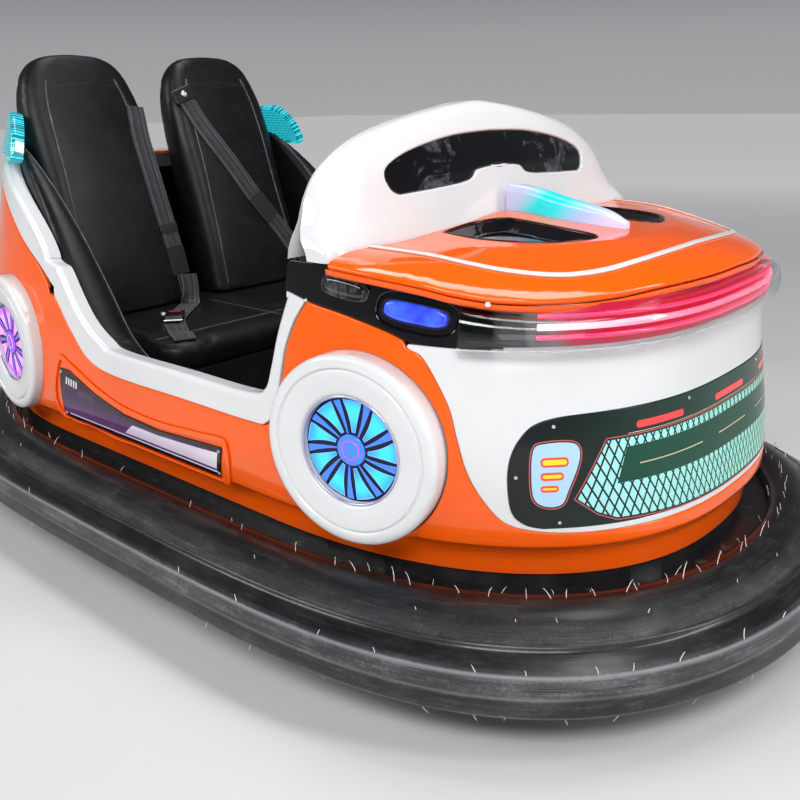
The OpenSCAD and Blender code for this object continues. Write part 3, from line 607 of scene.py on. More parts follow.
def make_groups():
    """Effects that several finishes share"""
    # Gloss coat: slow colour drift, fine wiping scratches and dust towards the floor
    n, i, o = new_group("Gloss Coat", Color=(1, 1, 1), Dust_Color=(0.35, 0.3, 0.26), Dust=0.2, Scratch=0.3,
        Roughness=0.12)
    co = n.coords()
    drift = n.remap(n.noise(co, 3.0, 3.0), 0.3, 0.7, 0.94, 1.04)
    base = n.scale(i["Color"], drift)
    low = n.remap(n.split(co)[2], 0.30, 0.16)
    patches = n.remap(n.noise(co, 22.0, 6.0, 0.65), 0.42, 0.75)
    dust = n.mul(n.mul(patches, n.add(n.mul(low, 0.7), 0.3)), i["Dust"])
    lines = n.noise(n.stretch(co, (9, 160, 160)), 2.2, 4.0, 0.7)
    lines_b = n.noise(n.stretch(co, (150, 12, 60)), 2.0, 4.0, 0.7)
    scratch = n.mul(n.math("MAXIMUM", n.remap(lines, 0.66, 0.72), n.remap(lines_b, 0.67, 0.73)), i["Scratch"])
    n.link(n.mix(dust, base, i["Dust Color"]), o, "Color")
    n.link(n.add(i["Roughness"], n.add(n.mul(dust, 0.45), n.mul(scratch, 0.22))), o, "Roughness")
    peel, wave = n.noise(co, 240.0, 2.0), n.noise(co, 9.0, 2.0)
    n.link(n.add(n.mul(peel, 0.012), n.mul(wave, 0.5)), o, "Height")

    # Worn rubber: grey scuffing, specks and dust, by a mask for where it rubs
    n, i, o = new_group("Worn Rubber", Color=(0.02, 0.02, 0.02), Scuff_Color=(0.2, 0.2, 0.2), Wear=0.5)
    co = n.coords()
    blotch = n.noise(co, 14.0, 8.0, 0.68)
    fine = n.noise(co, 180.0, 6.0, 0.7)
    streak = n.noise(n.stretch(co, (6, 6, 90)), 6.0, 5.0, 0.7)
    mask = n.add(n.mul(n.remap(blotch, 0.40, 0.62), 0.5), n.mul(n.remap(streak, 0.4, 0.75), 0.5))
    speck = n.remap(fine, 0.48, 0.62)
    worn = n.mul(n.add(n.mul(mask, 0.75), n.mul(speck, 0.35)), i["Wear"])
    worn = n.node("ShaderNodeClamp", {0: worn}).outputs[0]
    n.link(n.mix(worn, i["Color"], i["Scuff Color"]), o, "Color")
    n.link(n.remap(worn, 0.0, 1.0, 0.42, 0.85), o, "Roughness")
    n.link(n.add(n.mul(fine, 0.25), n.mul(blotch, 0.6)), o, "Height")

    # Leather grain: small cells, creases and rubbed patches
    n, i, o = new_group("Leather Grain", Color=(0.02, 0.02, 0.02), Grain=420.0, Dust=0.1)
    co = n.coords()
    cell = n.node("ShaderNodeTexVoronoi", {"Vector": co, "Scale": i["Grain"], "Randomness": 0.9},
        feature="DISTANCE_TO_EDGE").outputs["Distance"]
    pebble = n.remap(cell, 0.0, 0.35)
    crease = n.noise(n.stretch(co, (3, 3, 8)), 5.0, 5.0, 0.6, 0.4)
    rub = n.noise(co, 7.0, 5.0, 0.6)
    dust = n.mul(n.remap(n.noise(co, 30.0, 6.0, 0.7), 0.5, 0.8), i["Dust"])
    n.link(n.mix(dust, i["Color"], (0.30, 0.28, 0.26)), o, "Color")
    n.link(n.add(n.remap(rub, 0.3, 0.7, 0.34, 0.5), n.mul(pebble, -0.05)), o, "Roughness")
    n.link(n.add(n.mul(pebble, 0.08), n.mul(crease, 1.0)), o, "Height")

    # Metal wear: rubbed patches and light rust
    n, i, o = new_group("Metal Wear", Color=(0.02, 0.02, 0.02), Worn_Color=(0.3, 0.3, 0.3), Wear=0.3,
        Rust=0.1)
    co = n.coords()
    spots = n.remap(n.noise(co, 26.0, 8.0, 0.7), 0.56, 0.66)
    rust = n.mul(n.remap(n.noise(co, 11.0, 8.0, 0.7), 0.55, 0.72), i["Rust"])
    c = n.mix(n.mul(spots, i["Wear"]), i["Color"], i["Worn Color"])
    n.link(n.mix(rust, c, (0.16, 0.055, 0.02)), o, "Color")
    n.link(n.add(n.remap(n.noise(co, 60.0, 4.0), 0.3, 0.7, 0.25, 0.42), n.mul(rust, 0.4)), o, "Roughness")
    n.link(n.add(n.noise(co, 90.0, 4.0), n.mul(rust, 2.0)), o, "Height")


def material(name):
    m = bpy.data.materials.get(name)
    if m:
        return m, None, None
    m = bpy.data.materials.new(name)
    m.use_nodes = True
    m.node_tree.nodes.clear()
    n = Net(m.node_tree)
    shader = n.node("ShaderNodeBsdfPrincipled")
    out = n.node("ShaderNodeOutputMaterial")
    m.node_tree.links.new(shader.outputs[0], out.inputs[0])
    return m, n, shader


def finish(n, shader, group, values, bump=0.1, distance=0.001, **sockets):
    """A shared effect wired into the shader, and constants on the shader's own sockets"""
    g = n.node("ShaderNodeGroup", values, node_tree=bpy.data.node_groups[group])
    n.link(g.outputs["Color"], shader, "Base Color")
    n.link(g.outputs["Roughness"], shader, "Roughness")
    n.bump(shader, g.outputs["Height"], bump, distance)
    for k, v in sockets.items():
        shader.inputs[k.replace("_", " ")].default_value = v
    return g


def coated(name, group, values, bump=0.1, distance=0.001, **sockets):
    """Material of one shared effect with plain values"""
    m, n, s = material(name)
    if n:
        finish(n, s, group, values, bump, distance, **sockets)
    return m


def gloss(colour, dust, scratch, rough):
    """Values of the gloss coat"""
    return {"Color": colour, "Dust": dust, "Scratch": scratch, "Roughness": rough}


GELCOAT = dict(bump=0.05, distance=0.002, Coat_Weight=0.35, Coat_Roughness=0.03, Specular_IOR_Level=0.3)


def gelcoat(name, colour, dust, rough, scratch=0.3):
    return coated(name, "Gloss Coat", gloss(colour, dust, scratch, rough), **GELCOAT)


def orange():
    return gelcoat("Orange gelcoat", settings().orange, 0.06, 0.10)


def lined_orange():
    """Orange outside and a black liner on the faces that look into the cockpit"""
    m, n, s = material("Body gelcoat")
    if n:
        facing = n.node("ShaderNodeNewGeometry").outputs["True Normal"]
        x, y, _ = n.split(n.coords())
        inward = n.node("ShaderNodeCombineXYZ", {0: n.mul(x, 0.35), 1: y, 2: 0.0}).outputs[0]
        look = n.node("ShaderNodeVectorMath", {0: facing, 1: inward}, operation="DOT_PRODUCT")
        inner = n.math("LESS_THAN", look.outputs["Value"], 0.0)
        inner = n.mul(inner, n.math("LESS_THAN", n.split(facing)[2], 0.6))
        c = n.mix(inner, settings().orange, (0.004, 0.004, 0.004))
        finish(n, s, "Gloss Coat", gloss(c, 0.06, 0.3, 0.1), **GELCOAT)
    return m


def white():
    return gelcoat("White gelcoat", settings().white, 0.05, 0.14)


def black_gloss():
    return gelcoat("Gloss black", (0.003, 0.003, 0.004), 0.02, 0.05, 0.5)


def wet_black():
    """Gloss black with full reflections on an uneven surface; the grey smears in its colour are partly a film
    of dirt and partly painted reflections
    """
    m, n, s = material("Wet black")
    if n:
        co = n.coords()
        # Grey blotches: partly a smeared film, partly painted reflections
        smear_and_painted_reflection = n.mul(n.remap(n.noise(co, 11.0, 5.0, 0.62, 1.4), 0.53, 0.60),
            n.remap(n.noise(co, 70.0, 3.0, 0.6), 0.40, 0.62, 0.25, 1.0))
        c = n.mix(smear_and_painted_reflection, (0.002, 0.002, 0.003), (0.085, 0.09, 0.095))
        finish(n, s, "Gloss Coat", gloss(c, 0.0, 0.6, 0.04), 0.5, 0.006, Coat_Weight=1.0, Coat_Roughness=0.03)
    return m


def leatherette():
    return coated("Leatherette", "Leather Grain", {"Color": settings().leather, "Grain": 420.0, "Dust": 0.03},
        0.3, 0.0028, Coat_Weight=0.06, Coat_Roughness=0.3, Specular_IOR_Level=0.22)


def piping():
    return coated("Seam piping", "Leather Grain", {"Color": (0.05, 0.05, 0.053), "Grain": 900.0, "Dust": 0.5},
        0.2, 0.0005, Coat_Weight=0.3, Coat_Roughness=0.2)


def thread():
    return plastic("Dark thread", (0.05, 0.05, 0.055))


def enamel(name, colour, wear=0.35, rust=0.12):
    values = {"Color": colour, "Worn Color": (0.22, 0.22, 0.23), "Wear": wear, "Rust": rust}
    return coated(name, "Metal Wear", values, 0.12, Coat_Weight=0.25, Coat_Roughness=0.2)


def bright_metal(name="Bright metal", colour=(0.62, 0.62, 0.64), rust=0.05):
    values = {"Color": colour, "Worn Color": (0.35, 0.35, 0.36), "Wear": 0.4, "Rust": rust}
    return coated(name, "Metal Wear", values, 0.08, 0.0005, Metallic=1.0)


def plastic(name, colour, rough=0.0):
    return coated(name, "Gloss Coat", gloss(colour, 0.05, 0.3, 0.32 + rough), 0.06, Specular_IOR_Level=0.35)


def lit(name, colour, strength, body=None, rough=0.18, spread=0.35):
    """Translucent plastic lit from behind: brighter cells over a softer ground"""
    m, n, s = material(name)
    if n:
        cloud = n.remap(n.noise(n.coords(), 28.0, 2.0), 0.35, 0.65, 1.0 - spread, 1.0)
        n.glow(s, n.scale(tuple(colour), cloud), strength)
        finish(n, s, "Gloss Coat", gloss(body or colour, 0.06, 0.3, rough), 0.04, Coat_Weight=0.6,
            Coat_Roughness=0.05)
    return m


# ---------------------------------------------------------------- the body's surface

# Body sections. Columns: height, then how far the side, the nose and the tail lie inside the
# greatest size, and the exponent of the nose's rounding
BODY_LOW = 173.0
BODY = np.array([[0, 40, 21, 30, 2.35], [43, 35, 16, 25, 2.35], [55, 10, 0, 10, 2.4], [127, 0, 8, 0, 2.5],
    [207, 5, 22, 5, 2.6], [287, 15, 30, 15, 2.6], [357, 29, 33, 30, 2.6], [427, 43, 41, 45, 2.6],
    [527, 60, 56, 75, 2.6], [617, 84, 70, 105, 2.6]])
BODY_HALF_WIDTH, NOSE, TAIL = 455.0, 836.0, 830.0
BEND_FRONT, BEND_REAR, TAIL_E = 250.0, 300.0, 3.0
FRONT_RUN, SIDE_RUN, REAR_RUN = 800.0, 550.0, 760.0
HALF_RUN = FRONT_RUN + SIDE_RUN + REAR_RUN
WARP = 1.3


def body_row(z):
    k = np.asarray(z, float) - BODY_LOW
    side, nose, tail, e = (smooth_table(BODY[:, 0], BODY[:, i], k) for i in (1, 2, 3, 4))
    return BODY_HALF_WIDTH - side, NOSE - nose, TAIL - tail, e


def body_point(u, z):
    """Point of the body: u runs round it in millimetres from the nose, to the left above zero"""
    u, z = np.broadcast_arrays(np.asarray(u, float), np.asarray(z, float))
    side, nose, tail, e = body_row(z)
    s, sign = np.abs(u), np.sign(u)
    a = np.radians(90 * np.clip(s / FRONT_RUN, 0, 1) ** WARP)
    x = BEND_FRONT + (nose - BEND_FRONT) * np.abs(np.cos(a)) ** (2 / e)
    y = side * np.sin(a) ** (2 / e)
    mid = s > FRONT_RUN
    x, y = np.where(mid, BEND_FRONT - (s - FRONT_RUN), x), np.where(mid, side, y)
    b = np.radians(90 * np.clip((HALF_RUN - s) / REAR_RUN, 0, 1) ** WARP)
    rear = s > FRONT_RUN + SIDE_RUN
    x = np.where(rear, -BEND_REAR - (tail - BEND_REAR) * np.abs(np.cos(b)) ** (2 / TAIL_E), x)
    y = np.where(rear, side * np.sin(b) ** (2 / TAIL_E), y)
    return np.stack([x, y * sign, z], -1)


def side_run(x, z):
    """The u of a place on the side, from its length along the car and its height"""
    x = np.asarray(x, float)
    _, nose, tail, e = body_row(z)
    front = np.clip((x - BEND_FRONT) / (nose - BEND_FRONT), 0, 1) ** (e / 2)
    t = (np.degrees(np.arccos(front)) / 90) ** (1 / WARP)
    rear = np.clip((-x - BEND_REAR) / (tail - BEND_REAR), 0, 1) ** (TAIL_E / 2)
    r = (np.degrees(np.arccos(rear)) / 90) ** (1 / WARP)
    u = np.where(x > BEND_FRONT, FRONT_RUN * t, FRONT_RUN + (BEND_FRONT - x))
    return np.where(x < -BEND_REAR, HALF_RUN - REAR_RUN * r, u)


def on_side(xz, sign=-1):
    """Side view points [x, z] as places [u, z] on the body"""
    xz = np.asarray(xz, float)
    return np.stack([side_run(xz[:, 0], xz[:, 1]) * sign, xz[:, 1]], 1)


def body_normal(u, z):
    return surface_normals(body_point, np.asarray(u, float), np.asarray(z, float))


# Side view outlines, as in the frame: the door's edge, the rims, the side strips and the nose panel
GAP = 0.3
TAIL_Z, SILL_Z, RIM_W, RIM_T, SHOULDER = 700.0, 392.0, 42.0, 30.0, 594.0
BAR_Z, STRIP_X, ARCH_X, HOOD_X = 499.0, 655.0, 335.0, 425.0
STRIP_BACK, STRIP_JOINT, NOSE_FOOT = (330, 552), (376, 541), (760, 252)
DOOR = spline([[-960, TAIL_Z], [-660, TAIL_Z], [-575, TAIL_Z - 8], [-427, 612], [-345, 560], [-283, 512],
    [-206, 440], [-140, SILL_Z + 12], [-90, SILL_Z], [100, SILL_Z], [250, SILL_Z], [290, SILL_Z + 12],
    [304, 440], [318, 507], [345, 596]], 10)
RIM_LOW = spline([[-960, TAIL_Z - RIM_W], [-660, TAIL_Z - RIM_W], [-575, TAIL_Z - RIM_W - 12], [-440, 560],
    [-345, 506], [-283, 452], [-232, SILL_Z + 12], [-176, 364], [-90, SILL_Z - RIM_W], [100, SILL_Z - RIM_W],
    [270, SILL_Z - RIM_W], [312, 356], [333, 390], [344, 468], [358, 512], [376, 542]], 10)
STRIP_LOW = spline([STRIP_BACK, STRIP_JOINT, [449, 529], [509, 515], [550, 502], [600, BAR_Z]], 8)
NOSE_SIDE = spline([[500, 640], [520, 560], [538, 502], [565, 484], [599, 430], [614, 384], [628, 338],
    [648, 298], [672, 268], [710, 256], NOSE_FOOT], 8)
COVER_X = {"front": 470.0, "rear": -490.0}
LAMP_Z, COVER_R = 348.0, 137.0
SIDES = (("right", lambda data: data), ("left", mirrored))
BOTH = ((-1, "right"), (1, "left"))


def cover_frame(x, sign):
    """Function from a cover's own points to the car, its axis square to the side"""
    u = lambda px: body_point(-side_run(px, LAMP_Z), LAMP_Z)
    turn = math.atan((-u(x - 60)[1] + u(x + 60)[1]) / 120)
    origin = u(x)
    c, s = math.cos(turn), math.sin(turn)
    ex, ey, ez = np.array([c, s, 0]), np.array([0, 0, 1.0]), np.array([s, -c, 0])

    def local(px, py, h):
        q = origin + ex * px + ey * py + ez * h
        return np.array([q[0], q[1] * (1 if sign < 0 else -1), q[2]])
    return local


def tail_end(points):
    """The part of a side view line in front of the tail, with its end on the middle of the tail"""
    tail = body_row(points[:, 1])[2]
    kept = points[points[:, 0] > -tail + 1]
    z = kept[0][1]
    return np.vstack([[-float(body_row(z)[2]), z], kept])


def side_panel(points, radius, holes=(), **how):
    """Panel on the body's right side from a closed side view outline"""
    return panel_data(body_point, [(ccw(on_side(points)), radius)], holes, **how)


# ---------------------------------------------------------------- pieces of the body

def make_body_shell():
    edge = settings().edge / MM
    half_low = np.array([[u, BODY_LOW] for u in np.linspace(0, -HALF_RUN, 60)])
    rim = tail_end(RIM_LOW) - [0, GAP]
    cut = NOSE_SIDE[NOSE_SIDE[:, 1] < BAR_Z + 4] - [GAP, 0]
    strip = STRIP_LOW[STRIP_LOW[:, 0] > STRIP_JOINT[0] + 1] - [0, GAP]
    strip = strip[strip[:, 0] < cut[0][0]]
    right = on_side(np.vstack([rim, strip, cut]))
    right[0, 0] = -HALF_RUN
    right[-1] = [-side_run(*NOSE_FOOT), NOSE_FOOT[1] - GAP]
    right = right[np.concatenate([[1], np.abs(np.diff(right, axis=0)).sum(1)]) > 0.4]
    top = both_halves(right)
    bottom = np.vstack([half_low[::-1] * [-1, 1], half_low[1:]])
    end = [HALF_RUN, top[-1][1]]
    outline = [(np.vstack([top, [end]]), edge), (np.array([end, [HALF_RUN, BODY_LOW]]), edge), (bottom, edge),
        (np.array([[-HALF_RUN, BODY_LOW], [-HALF_RUN, right[0][1]]]), edge)]
    holes = []
    for x in COVER_X.values():
        ring = circle(cover_frame(x, -1), COVER_R + GAP, 0, 96)[:, [0, 2]]
        holes += [[(ccw(on_side(ring, sign)), edge)] for sign in (-1, 1)]
    data = panel_data(body_point, outline, holes, depth=6, step=13, seam=HALF_RUN)
    add_piece("body_shell_moulding", data, lined_orange(), "orange_gelcoat", "body_shell")


def grille_outline(shift=0.0):
    side = spline([[900, 416], [760, 416], [706, 410], [684, 390], [673, 350], [676, 292], [687, 271],
        [706, 262.5], [736, 262], [900, 262]], 8)
    run = on_side(side[side[:, 0] < 790])
    loop = ccw(both_halves(run[np.abs(run[:, 0]) > 30]))
    return shrink(loop, -shift) if shift else loop


def make_nose_panel():
    cut = NOSE_SIDE[(NOSE_SIDE[:, 1] < BAR_Z + 4) & (NOSE_SIDE[:, 1] > NOSE_FOOT[1] + 0.5)]
    corner = [[STRIP_X + GAP, 556.0], [STRIP_X + GAP, BAR_Z - GAP]]
    right = np.vstack([on_side(np.vstack([corner, cut - [0, GAP]])), [[-side_run(*NOSE_FOOT), NOSE_FOOT[1]]]])
    data = panel_data(body_point, [(both_halves(right), settings().edge / MM)],
        [[(ccw(grille_outline(GAP)), 1.6)]], depth=6, step=11)
    add_piece("nose_moulding", data, white(), "white_gelcoat", "nose_panel")


def make_cockpit_rims():
    door, low = tail_end(DOOR), tail_end(RIM_LOW)
    door = door[door[:, 1] < TAIL_Z + 2]
    inner_end, outer_end = [STRIP_BACK[0] + 1.5, STRIP_BACK[1] - GAP], [STRIP_JOINT[0], STRIP_JOINT[1] - GAP]
    keep = ~((door[:, 0] > 300) & (door[:, 1] > inner_end[1] - 2))
    door_run = on_side(np.vstack([door[keep], [inner_end]]))
    low_run = on_side(np.vstack([low, [outer_end]]))
    door_run[0, 0] = low_run[0, 0] = -HALF_RUN + 0.2
    outline = [(low_run, 2.5), (on_side([outer_end, inner_end]), 1.0), (door_run[::-1], 9.0),
        (np.array([door_run[0], low_run[0]]), 0.4)]
    data = panel_data(body_point, outline, depth=RIM_T, step=10, fine=4.5)
    for side, pick in SIDES:
        name = "cockpit_rim_" + side
        add_piece(name + "_moulding", pick(data), white(), "white_gelcoat", name)


# Ovals on the side strips: middle, half lengths and turn
LENS = (547.0, 540.0, 44.0, 12.5, math.radians(-8))
DOME = (440.0, 565.0, 36.0, 10.5, math.radians(-7))


def lens_loop(grow=0.0, size=LENS):
    x, z, rx, rz, turn = size
    return oval(x, z, rx + grow, rz + grow, 72, 3.2, turn)


def make_side_strips():
    top = [[STRIP_X, BAR_Z], [STRIP_X, 552.0], [600, 556.0], [560, 575.0], [520, 584.0], [470, 590.0],
        [430, 593.6], [ARCH_X, 593.6], [330, 590.0]]
    loop = on_side(np.vstack([[STRIP_BACK], STRIP_LOW[STRIP_LOW[:, 0] > STRIP_BACK[0] + 1], top]))
    recess = [(ccw(on_side(lens_loop(9.0))), 4.0)]
    data = panel_data(body_point, [(loop, 2.0)], [recess], depth=6, step=8, fine=4, out=-2)
    bowl = side_panel(lens_loop(9.4), 0.3, depth=1.6, step=7, out=-5.2)
    lens = side_panel(lens_loop(), 4.5, depth=7.5, step=6, fine=3, out=3.2)
    rim = side_panel(lens_loop(2.6), 1.2, [[(ccw(on_side(lens_loop(0.4))), 0.6)]], depth=6.4, step=6, fine=3,
        out=0.6)
    dome = side_panel(lens_loop(0.0, DOME), 5.0, depth=7, step=6, fine=3, out=2.6)
    collar = side_panel(lens_loop(4.5, DOME), 1.6, depth=4, step=6, fine=3, out=0.8)
    blue = lit("Blue lens", (0.03, 0.09, 1.0), 2.4, (0.02, 0.03, 0.4), spread=0.8)
    bezel = plastic("Bezel black", (0.01, 0.01, 0.012))
    for side, pick in SIDES:
        add_piece("side_strip_panel_" + side, merged([pick(data), pick(bowl)]), black_gloss(), "gloss_black",
            "side_strip_" + side)
        add_piece("side_lamp_lens_" + side, pick(lens), blue, "blue_lens", "side_lamp_" + side)
        add_piece("side_strip_dome_" + side, merged([pick(dome), pick(collar)]), wet_black(), "gloss_black")
        add_piece("side_lamp_bezel_" + side, pick(rim), bezel, "gloss_black")


# ---------------------------------------------------------------- hood

# Height of the hood's edge by the angle from the nose, and its rise by the share of the way inwards
LIP = np.array([[0, 573], [23, 567], [33, 561], [45, 558], [54, 561], [63, 570], [70, 580], [79, 588],
    [90, 594]], float)
HOOD = np.array([[0, -0.12], [0.004, 0.07], [0.03, 0.21], [0.07, 0.33], [0.14, 0.45], [0.25, 0.52],
    [0.37, 0.57], [0.55, 0.69], [0.75, 0.83], [0.92, 1], [1.0, 1.0]])
HOOD_L = 836.0 - 36.1 + 12 - HOOD_X
HOOD_W = 455.0 - 37.0 + 9
HOOD_RISE, HOOD_MID, HOOD_E = 42.0, 585.0, 2.05
VENT = spline([[440, -196], [436, -120], [470, -70], [560, -72], [637, -88], [622, -152], [580, -190],
    [511, -208], [440, -196]], 8)[:-1]


def hood_place(x, y):
    """Angle from the nose in degrees and share of the way from the hood's edge to its middle"""
    u, w = np.maximum(0, np.asarray(x, float) - HOOD_X) / HOOD_L, np.abs(np.asarray(y, float)) / HOOD_W
    k = (u ** HOOD_E + w ** HOOD_E) ** (1 / HOOD_E)
    safe = np.maximum(k, 1e-6)
    a = np.degrees(np.arccos(np.clip((u / safe) ** (HOOD_E / 2), 0, 1)))
    return np.where(k > 1e-6, a, 0), 1 - k


def lip_height(angle):
    return smooth_table(LIP[:, 0], LIP[:, 1], angle)


def hood_height(x, y):
    a, v = hood_place(x, y)
    w = np.clip(3 * v, -0.2, 1)
    base = lip_height(a) * (1 - w) + HOOD_MID * w
    return base + HOOD_RISE * smooth_table(HOOD[1:, 0], HOOD[1:, 1], v)


def hood_surface(x, y):
    return np.stack([np.broadcast_to(x, np.shape(x)), y, hood_height(x, y)], -1)


def hood_edge(n):
    """The hood's edge seen from above"""
    a = np.radians(np.linspace(-90, 90, n))
    return np.stack([HOOD_X + HOOD_L * np.abs(np.cos(a)) ** (2 / HOOD_E),
        HOOD_W * spow(np.sin(a), 2 / HOOD_E)], 1)


def make_hood():
    ring = hood_edge(120)
    ring[:, 0] = np.maximum(ring[:, 0], HOOD_X)
    vents = [[(ccw(VENT * [1, s]), 3.0)] for s in (1, -1)]
    data = panel_data(hood_surface, [(ring, 5.0), (np.array([ring[-1], ring[0]]), 1.5)], vents, depth=6,
        step=10, fine=4.5)
    add_piece("hood_moulding", data, orange(), "orange_gelcoat", "hood_cap")
    lip = hood_edge(200)
    z = lip_height(hood_place(lip[:, 0], lip[:, 1])[0])
    rows = []
    for inset, drop in ((0.2, -2.5), (0.0, -6.0), (0.8, -9.5), (3.0, -11.4), (6.0, -11.7), (6.4, -9),
            (6.4, -4)):
        k = 1 - inset / 400
        rows.append(np.stack([HOOD_X + (lip[:, 0] - HOOD_X) * k, lip[:, 1] * k, z + drop], 1))
    add_piece("hood_lip_roll", grid_data(np.array(rows)[::-1]), orange(), "orange_gelcoat")


class BUMPERCAR_OT_body(bpy.types.Operator):
    """Make the orange and white mouldings, the dark side strips and their lamps"""
    bl_idname = "bumper_car.body"
    bl_label = "Body mouldings"

    def execute(self, context):
        make_body_shell()
        make_nose_panel()
        make_cockpit_rims()
        make_side_strips()
        make_hood()
        return {"FINISHED"}


# ---------------------------------------------------------------- rubber ring

RING_L, RING_W, RING_E = 975.0, 575.0, (4.03, 2.1)
RING_PROFILE = [(8, 70.6), (3, 71), (1, 73), (0.2, 76), (0.2, 97), (1.5, 98.8), (2.6, 100.2), (2.9, 101),
    (2.6, 101.8), (1.5, 103.2), (0.2, 105), (0.2, 126), (0.7, 129), (2.2, 131.2), (5, 132.6), (12, 136),
    (20, 140.2), (28, 144.4), (30.6, 146.6), (32, 149.4), (33.4, 151.8), (35.5, 152.8), (37.4, 152.4),
    (39, 152.8), (42, 155.2), (50, 161.5), (60, 168.6), (70, 174.4), (80, 178), (90, 179.7), (97, 179.8),
    (104, 178.6), (110, 176), (115.5, 171.5), (118.6, 166), (120, 158), (120, 88), (118, 80), (108, 70.6)]


def ring_plan(a, d):
    """Points of the ring's plan by angle, d inside its outermost edge"""
    c, s = np.cos(a), np.sin(a)
    return np.stack([(RING_L - d) * spow(c, 2 / RING_E[0]), (RING_W - d) * spow(s, 2 / RING_E[1])], -1)


def ring_angles(n=420):
    """Angles whose points lie evenly spaced round the ring"""
    a = np.linspace(0, 2 * math.pi, 6001)
    run = run_along(ring_plan(a, 40.0))
    return np.interp(np.linspace(0, run[-1], n, endpoint=False), run, a), run[-1]


def profile_share(target):
    """Share of the ring profile's length at the point nearest to a target"""
    p = np.array(RING_PROFILE)
    run = run_along(p)
    return float(run[np.argmin(np.linalg.norm(p - np.array(target), axis=1))] / run[-1])


def ring_rubber():
    m, n, s = material("Bumper rubber")
    if not n:
        return m
    u, v, _ = n.split(n.surface())
    at = profile_share
    k = settings().rubber[0] / 0.009
    # Along the profile: place, grey, wear and wetness; the pale grey on the sharp ridges is partly scuffing
    # and partly painted highlight
    stops = [((8, 70.6), 0.020, 0.5, 0.1), ((1, 73), 0.10, 0.9, 0.1), ((0.2, 76), 0.016, 0.35, 0.2),
        ((0.2, 97), 0.011, 0.30, 0.3), ((2.9, 101), 0.11, 0.8, 0.1), ((0.2, 105), 0.030, 0.85, 0.1),
        ((0.2, 126), 0.035, 0.85, 0.1), ((2.2, 131.2), 0.20, 1.0, 0.1), ((5, 132.6), 0.030, 0.4, 0.4),
        ((12, 136), 0.008, 0.12, 0.9), ((28, 144.4), 0.007, 0.10, 0.9), ((33.4, 151.8), 0.012, 0.2, 0.5),
        ((37.4, 152.4), 0.028, 0.40, 0.3), ((60, 168.6), 0.011, 0.16, 0.6), ((80, 178), 0.008, 0.14, 0.8),
        ((90, 179.7), 0.008, 0.10, 0.9), ((97, 179.8), 0.005, 0.06, 1.0), ((120, 158), 0.004, 0.03, 1.0)]
    base, wear, wet = (n.ramp(v, [(at(row[0]), (row[i] * f, row[i] * f, row[i] * f * b)) for row in stops])
        for i, f, b in ((1, k, 1.05), (2, 1, 1), (3, 1, 1)))
    run = n.node("ShaderNodeCombineXYZ", {0: u, 1: n.mul(v, 1.2)}).outputs[0]
    streak = n.noise(n.stretch(run, (3.0, 60.0, 1.0)), 2.0, 6.0, 0.7)
    chalk = n.noise(run, 9.0, 6.0, 0.7)
    worn = n.mul(n.add(n.remap(streak, 0.46, 0.62), n.remap(chalk, 0.45, 0.62)), 0.62)
    values = {"Color": base, "Scuff Color": (0.30, 0.30, 0.31), "Wear": n.mul(wear, worn)}
    g = finish(n, s, "Worn Rubber", values, Specular_IOR_Level=0.3, Coat_Roughness=0.14)
    n.link(n.mix(wet, g.outputs["Roughness"], n.remap(chalk, 0.3, 0.7, 0.22, 0.42)), s, "Roughness")
    n.link(n.mul(wet, n.remap(chalk, 0.35, 0.6, 0.1, 0.5)), s, "Coat Weight")
    # Short pale dashes left by the mould, in patches
    dash = n.math("GREATER_THAN", n.wave(n.add(u, n.mul(v, 0.3)), 0.006), 0.86)
    rows = n.math("GREATER_THAN", n.wave(v, 0.016), 0.2)
    crest = n.mul(n.remap(v, at((60, 168.6)), at((62, 170))), n.remap(v, at((92, 179.7)), at((90, 179.7))))
    patch = n.math("GREATER_THAN", n.noise(n.stretch(run, (1.0, 4.0, 1.0)), 7.0, 1.0), 0.66)
    dashes = n.mul(n.mul(dash, rows), n.mul(crest, patch))
    n.link(n.mix(n.mul(dashes, 0.7), g.outputs["Color"], (0.45, 0.45, 0.45)), s, "Base Color")
    # Fine ribs on the sloping band above the ledge
    ribs = n.mul(n.wave(u, 0.0036), 0.5)
    lo, hi = at((39, 152.8)), at((60, 168.6))
    band = n.mul(n.remap(v, lo, lo + 0.004), n.remap(v, hi + 0.004, hi))
    n.bump(s, n.add(g.outputs["Height"], n.mul(ribs, n.mul(band, 0.5))), 0.4, 0.0015)
    return m


# Rows of moulding whiskers: how far inside the edge, height, kind, length (down where negative) and share
WHISKER_ROWS = ((95, 179.4, "light", 20.0, 0.26), (118.5, 164.0, "light", 18.0, 0.12),
    (4.6, 132.3, "light", 13.0, 0.15), (9.0, 70.8, "light", -15.0, 0.15), (36.5, 152.4, "dark", 12.0, 0.14),
    (60, 168.6, "light", 7.0, 0.08), (58, 167.4, "dark", 10.0, 0.1))


def make_ring():
    angles, length = ring_angles()
    prof = np.array(RING_PROFILE)
    rows = np.array([np.concatenate([ring_plan(a, prof[:, 0]), prof[:, 1:2]], 1) for a in angles])
    run = run_along(prof)
    verts, faces, norms, _ = grid_data(rows, wrap_u=True, wrap_v=True)
    c = rows.shape[1]
    uv = []
    for f in faces:
        i, j = divmod(f[0], c)
        a, b = run[j] / run[-1], (run[j + 1] / run[-1] if j + 1 < c else 1.0)
        s0, s1 = i / len(rows) * length * MM, (i + 1) / len(rows) * length * MM
        uv.append([(s0, a), (s0, b), (s1, b), (s1, a)])
    add_piece("bumper_ring_rubber", (verts, faces, norms, uv), ring_rubber(), "bumper_rubber", "bumper_ring")


